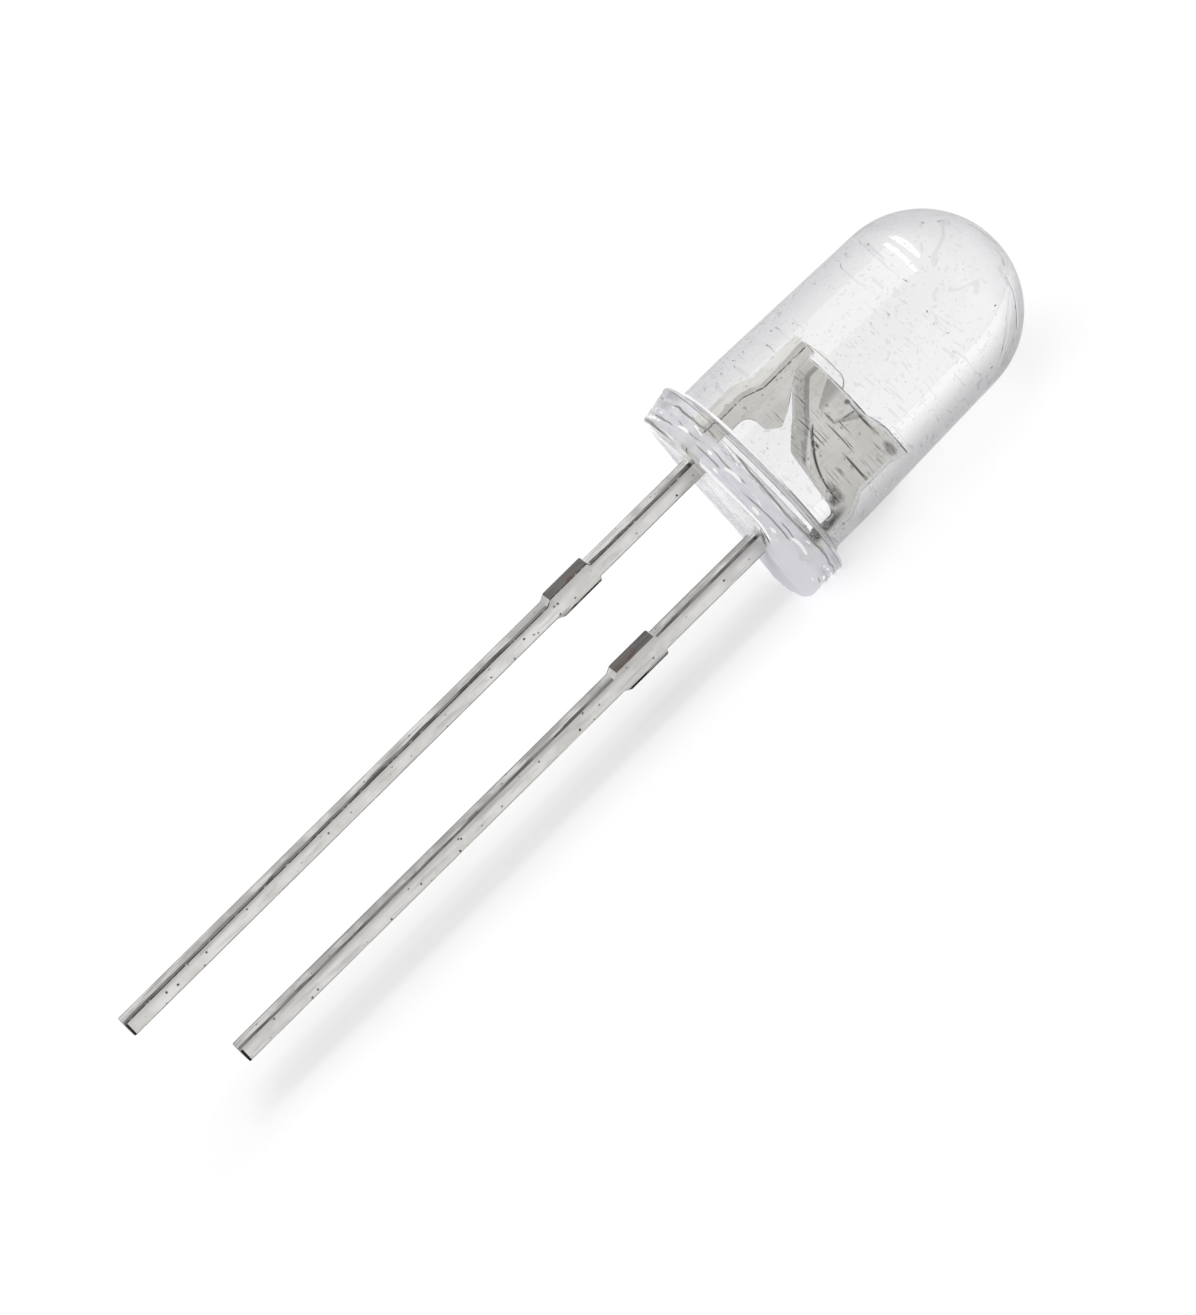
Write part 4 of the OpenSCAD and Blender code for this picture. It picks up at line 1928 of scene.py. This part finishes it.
@dataclass(frozen=True)
class PaperFloor:
    """A wide sheet of white paper under the part. Its size is in metres."""

    half_size: float = 2.0

    def build(self, level: float, finish: WhitePaper) -> bpy.types.Object:
        """Builds and dresses the floor.

        Args:
            level: the floor's height, in metres.
            finish: the paper's finish.

        Returns:
            The floor object.
        """
        s = self.half_size
        mesh = bpy.data.meshes.new("floor")
        mesh.from_pydata([(-s, -s, level), (s, -s, level), (s, s, level), (-s, s, level)], [], [(0, 1, 2, 3)])
        floor = mesh_object("floor", mesh)
        mesh.materials.append(finish.build())
        LOG.info("%s: white paper", floor.name)
        return floor


@dataclass(frozen=True)
class Lamp:
    """A flat lamp that faces the part. Lengths are in metres, and a level of 1 is white."""

    name: str
    size: Point
    level: float
    shape: str = "RECTANGLE"
    distance: float = 0.6

    def hang(self, way: Vector, along: Vector) -> bpy.types.Object:
        """Hangs the lamp.

        Args:
            way: the direction from the part to the lamp.
            along: the direction of the lamp's length.

        Returns:
            The lamp object.
        """
        area = self.size[0] * self.size[1] * (math.pi / 4 if self.shape == "ELLIPSE" else 1.0)
        data = bpy.data.lights.new(self.name, "AREA")
        data.shape = self.shape
        data.size, data.size_y = self.size
        data.energy = self.level * math.pi * area
        lamp = put(bpy.data.objects.new(self.name, data))
        z = way.normalized()
        x = (along - along.dot(z) * z).normalized()
        turned = Matrix((x, z.cross(x), z)).transposed().to_4x4()
        lamp.matrix_world = Matrix.Translation(z * self.distance) @ turned
        lamp.visible_camera = False
        lamp.visible_transmission = False
        return lamp


@dataclass(frozen=True)
class Studio:
    """A light tent with a bright horizon behind the part, greyer in front, and lamps above.

    The grey in front draws the edges of the clear epoxy and of the leads. The lamps give the
    soft bands along the lens and the two bright marks on its dome. The strips' ends are
    directions: across the part, along it and towards the camera.
    """

    peak: float = 1.2
    behind: tuple[Point, ...] = (
        (0.0, 1.12), (0.07, 1.15), (0.14, 1.06), (0.33, 0.8), (0.5, 0.68), (0.8, 0.55), (1.0, 0.6)
    )
    before: tuple[Point, ...] = (
        (0.0, 0.75), (0.08, 0.8), (0.12, 1.1), (0.26, 1.1), (0.31, 0.75), (0.75, 0.6), (0.95, 0.6)
    )
    strips: tuple[tuple[Lamp, Corner, Corner], ...] = (
        (Lamp("strip_light", (0.62, 0.045), 4.0), (-0.93, 0.25, -0.18), (-0.486, 0.39, 0.75)),
        (Lamp("oval_light", (0.56, 0.07), 4.0, "ELLIPSE"), (-0.85, 0.34, -0.25), (-0.57, 0.56, 0.52)),
    )
    overhead: Lamp = Lamp("overhead_light", (0.36, 0.56), 1.1)
    overhead_way: Corner = (0.1, 0.0, 1.0)

    def _graded(self, wiring: Wiring, height: Socket, stops: tuple[Point, ...]) -> Socket:
        """Gives a light level that follows stops of height and level.

        Args:
            wiring: the world's tree in the making.
            height: how high the direction points.
            stops: the heights with their levels.

        Returns:
            The light level.
        """
        node = wiring.add(Kind.STOPS, height).node
        elements = node.color_ramp.elements
        while len(elements) < len(stops):
            elements.new(0.5)
        for element, (place, level) in zip(elements, stops):
            element.position = place
            element.color = (*[level / self.peak] * 3, 1.0)
        return wiring.add(Kind.TIMES, node.outputs["Color"], self.peak)

    def tent(self) -> bpy.types.World:
        """Sets the tent: white to the camera, graded by direction for everything else.

        Returns:
            The world.
        """
        world = bpy.data.worlds.new("light_tent")
        bpy.context.scene.world = world
        world.use_nodes = True
        world.node_tree.nodes.clear()
        wiring = Wiring(world.node_tree)
        way = wiring.add(Kind.COORDINATES).node.outputs["Generated"]
        _, y, z = wiring.add(Kind.PARTS, way).node.outputs
        before, behind = self._graded(wiring, z, self.before), self._graded(wiring, z, self.behind)
        level = wiring.add(Kind.BETWEEN, wiring.add(Kind.SOFT_STEP, y, -0.35, 0.1), before, behind)
        camera = wiring.add(Kind.RAYS).node.outputs["Is Camera Ray"]
        shown = wiring.add(Kind.BETWEEN, camera, level, 1.0)
        wiring.add(Kind.WORLD_OUTPUT, wiring.add(Kind.SKY, WHITE, shown))
        return world

    def build(self, level: float) -> None:
        """Sets the floor, the tent and the lamps.

        Args:
            level: the floor's height, in metres.
        """
        PaperFloor().build(level, WhitePaper())
        self.tent()
        _, across, toward, along = CameraView().axes()
        view = Matrix((across, along, toward)).transposed()
        for lamp, start, end in self.strips:
            first, last = view @ Vector(start), view @ Vector(end)
            lamp.hang(first + last, last - first)
        self.overhead.hang(Vector(self.overhead_way), Vector((1, 0, 0)))


@dataclass(frozen=True)
class CameraView:
    """The photograph's view: a long lens from in front and above, rolled to 44.7 degrees."""

    toward: Corner = (-0.075, -0.888, 0.453)
    roll: float = math.radians(44.67)
    distance: float = 0.3
    width_px: float = 1196.0
    height_px: float = 1315.0
    base_px: Point = (724.3, 506.0)
    px_per_mm: float = 43.4
    sensor_mm: float = 36.0
    nearest: float = 0.01
    farthest: float = 20.0

    def axes(self) -> tuple[Vector, Vector, Vector, Vector]:
        """Gives the view's directions.

        Returns:
            The picture's right, the direction across the part, the direction to the camera,
            and the direction along the part.
        """
        toward = Vector(self.toward).normalized()
        x = Vector((1.0, 0.0, 0.0))
        along = (x - x.dot(toward) * toward).normalized()
        across = along.cross(toward)
        right = math.cos(self.roll) * along + math.sin(self.roll) * across
        return right, across, toward, along

    def build(self) -> bpy.types.Object:
        """Makes the camera and points it as the photograph was taken.

        Returns:
            The camera object.
        """
        right, _, toward, _ = self.axes()
        up = toward.cross(right)
        off_x = (self.base_px[0] - self.width_px / 2) / self.px_per_mm * MM
        off_y = (self.height_px / 2 - self.base_px[1]) / self.px_per_mm * MM
        target = -off_x * right - off_y * up
        data = bpy.data.cameras.new("camera")
        data.sensor_width = self.sensor_mm
        shown = self.height_px / self.px_per_mm * MM
        data.lens = self.sensor_mm * self.distance / shown
        data.clip_start, data.clip_end = self.nearest, self.farthest
        camera = put(bpy.data.objects.new("camera", data))
        turned = Matrix((right, up, toward)).transposed().to_4x4()
        camera.matrix_world = Matrix.Translation(target + toward * self.distance) @ turned
        bpy.context.scene.camera = camera
        return camera


def main() -> None:
    """Builds every piece in order, then the floor, the light and the camera."""
    logging.basicConfig(level=logging.INFO, format="%(name)s: %(message)s")
    bpy.context.scene.view_settings.view_transform = "Standard"
    lens_low, lens_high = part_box("lens")
    Lens(
        height=lens_high.x / MM,
        flange_radius=lens_high.z / MM,
        flat=-lens_low.z / MM,
    ).build(CastEpoxy())
    tips = {
        Polarity.ANODE: -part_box("anode_lead")[0].x / MM,
        Polarity.CATHODE: -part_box("cathode_lead")[0].x / MM,
    }
    leads = LeadFrame(tips=tips)
    leads.build(TinPlate(), BurnishedEdgeWithPaintedLight())
    gold = FineGold().build()
    Chip().build(gold)
    BondWire(
        pad_top=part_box("chip_pad")[1].x / MM,
        post_top=leads.head_height,
        post_across=leads.head_width / 2 - leads.frame_edge,
    ).build(gold)
    Flecks(shell_high=lens_high.x / MM - 0.25).build(Fleck())
    Studio().build(CAD_BOX[0].z)
    CameraView().build()


if __name__ == "__main__":
    main()
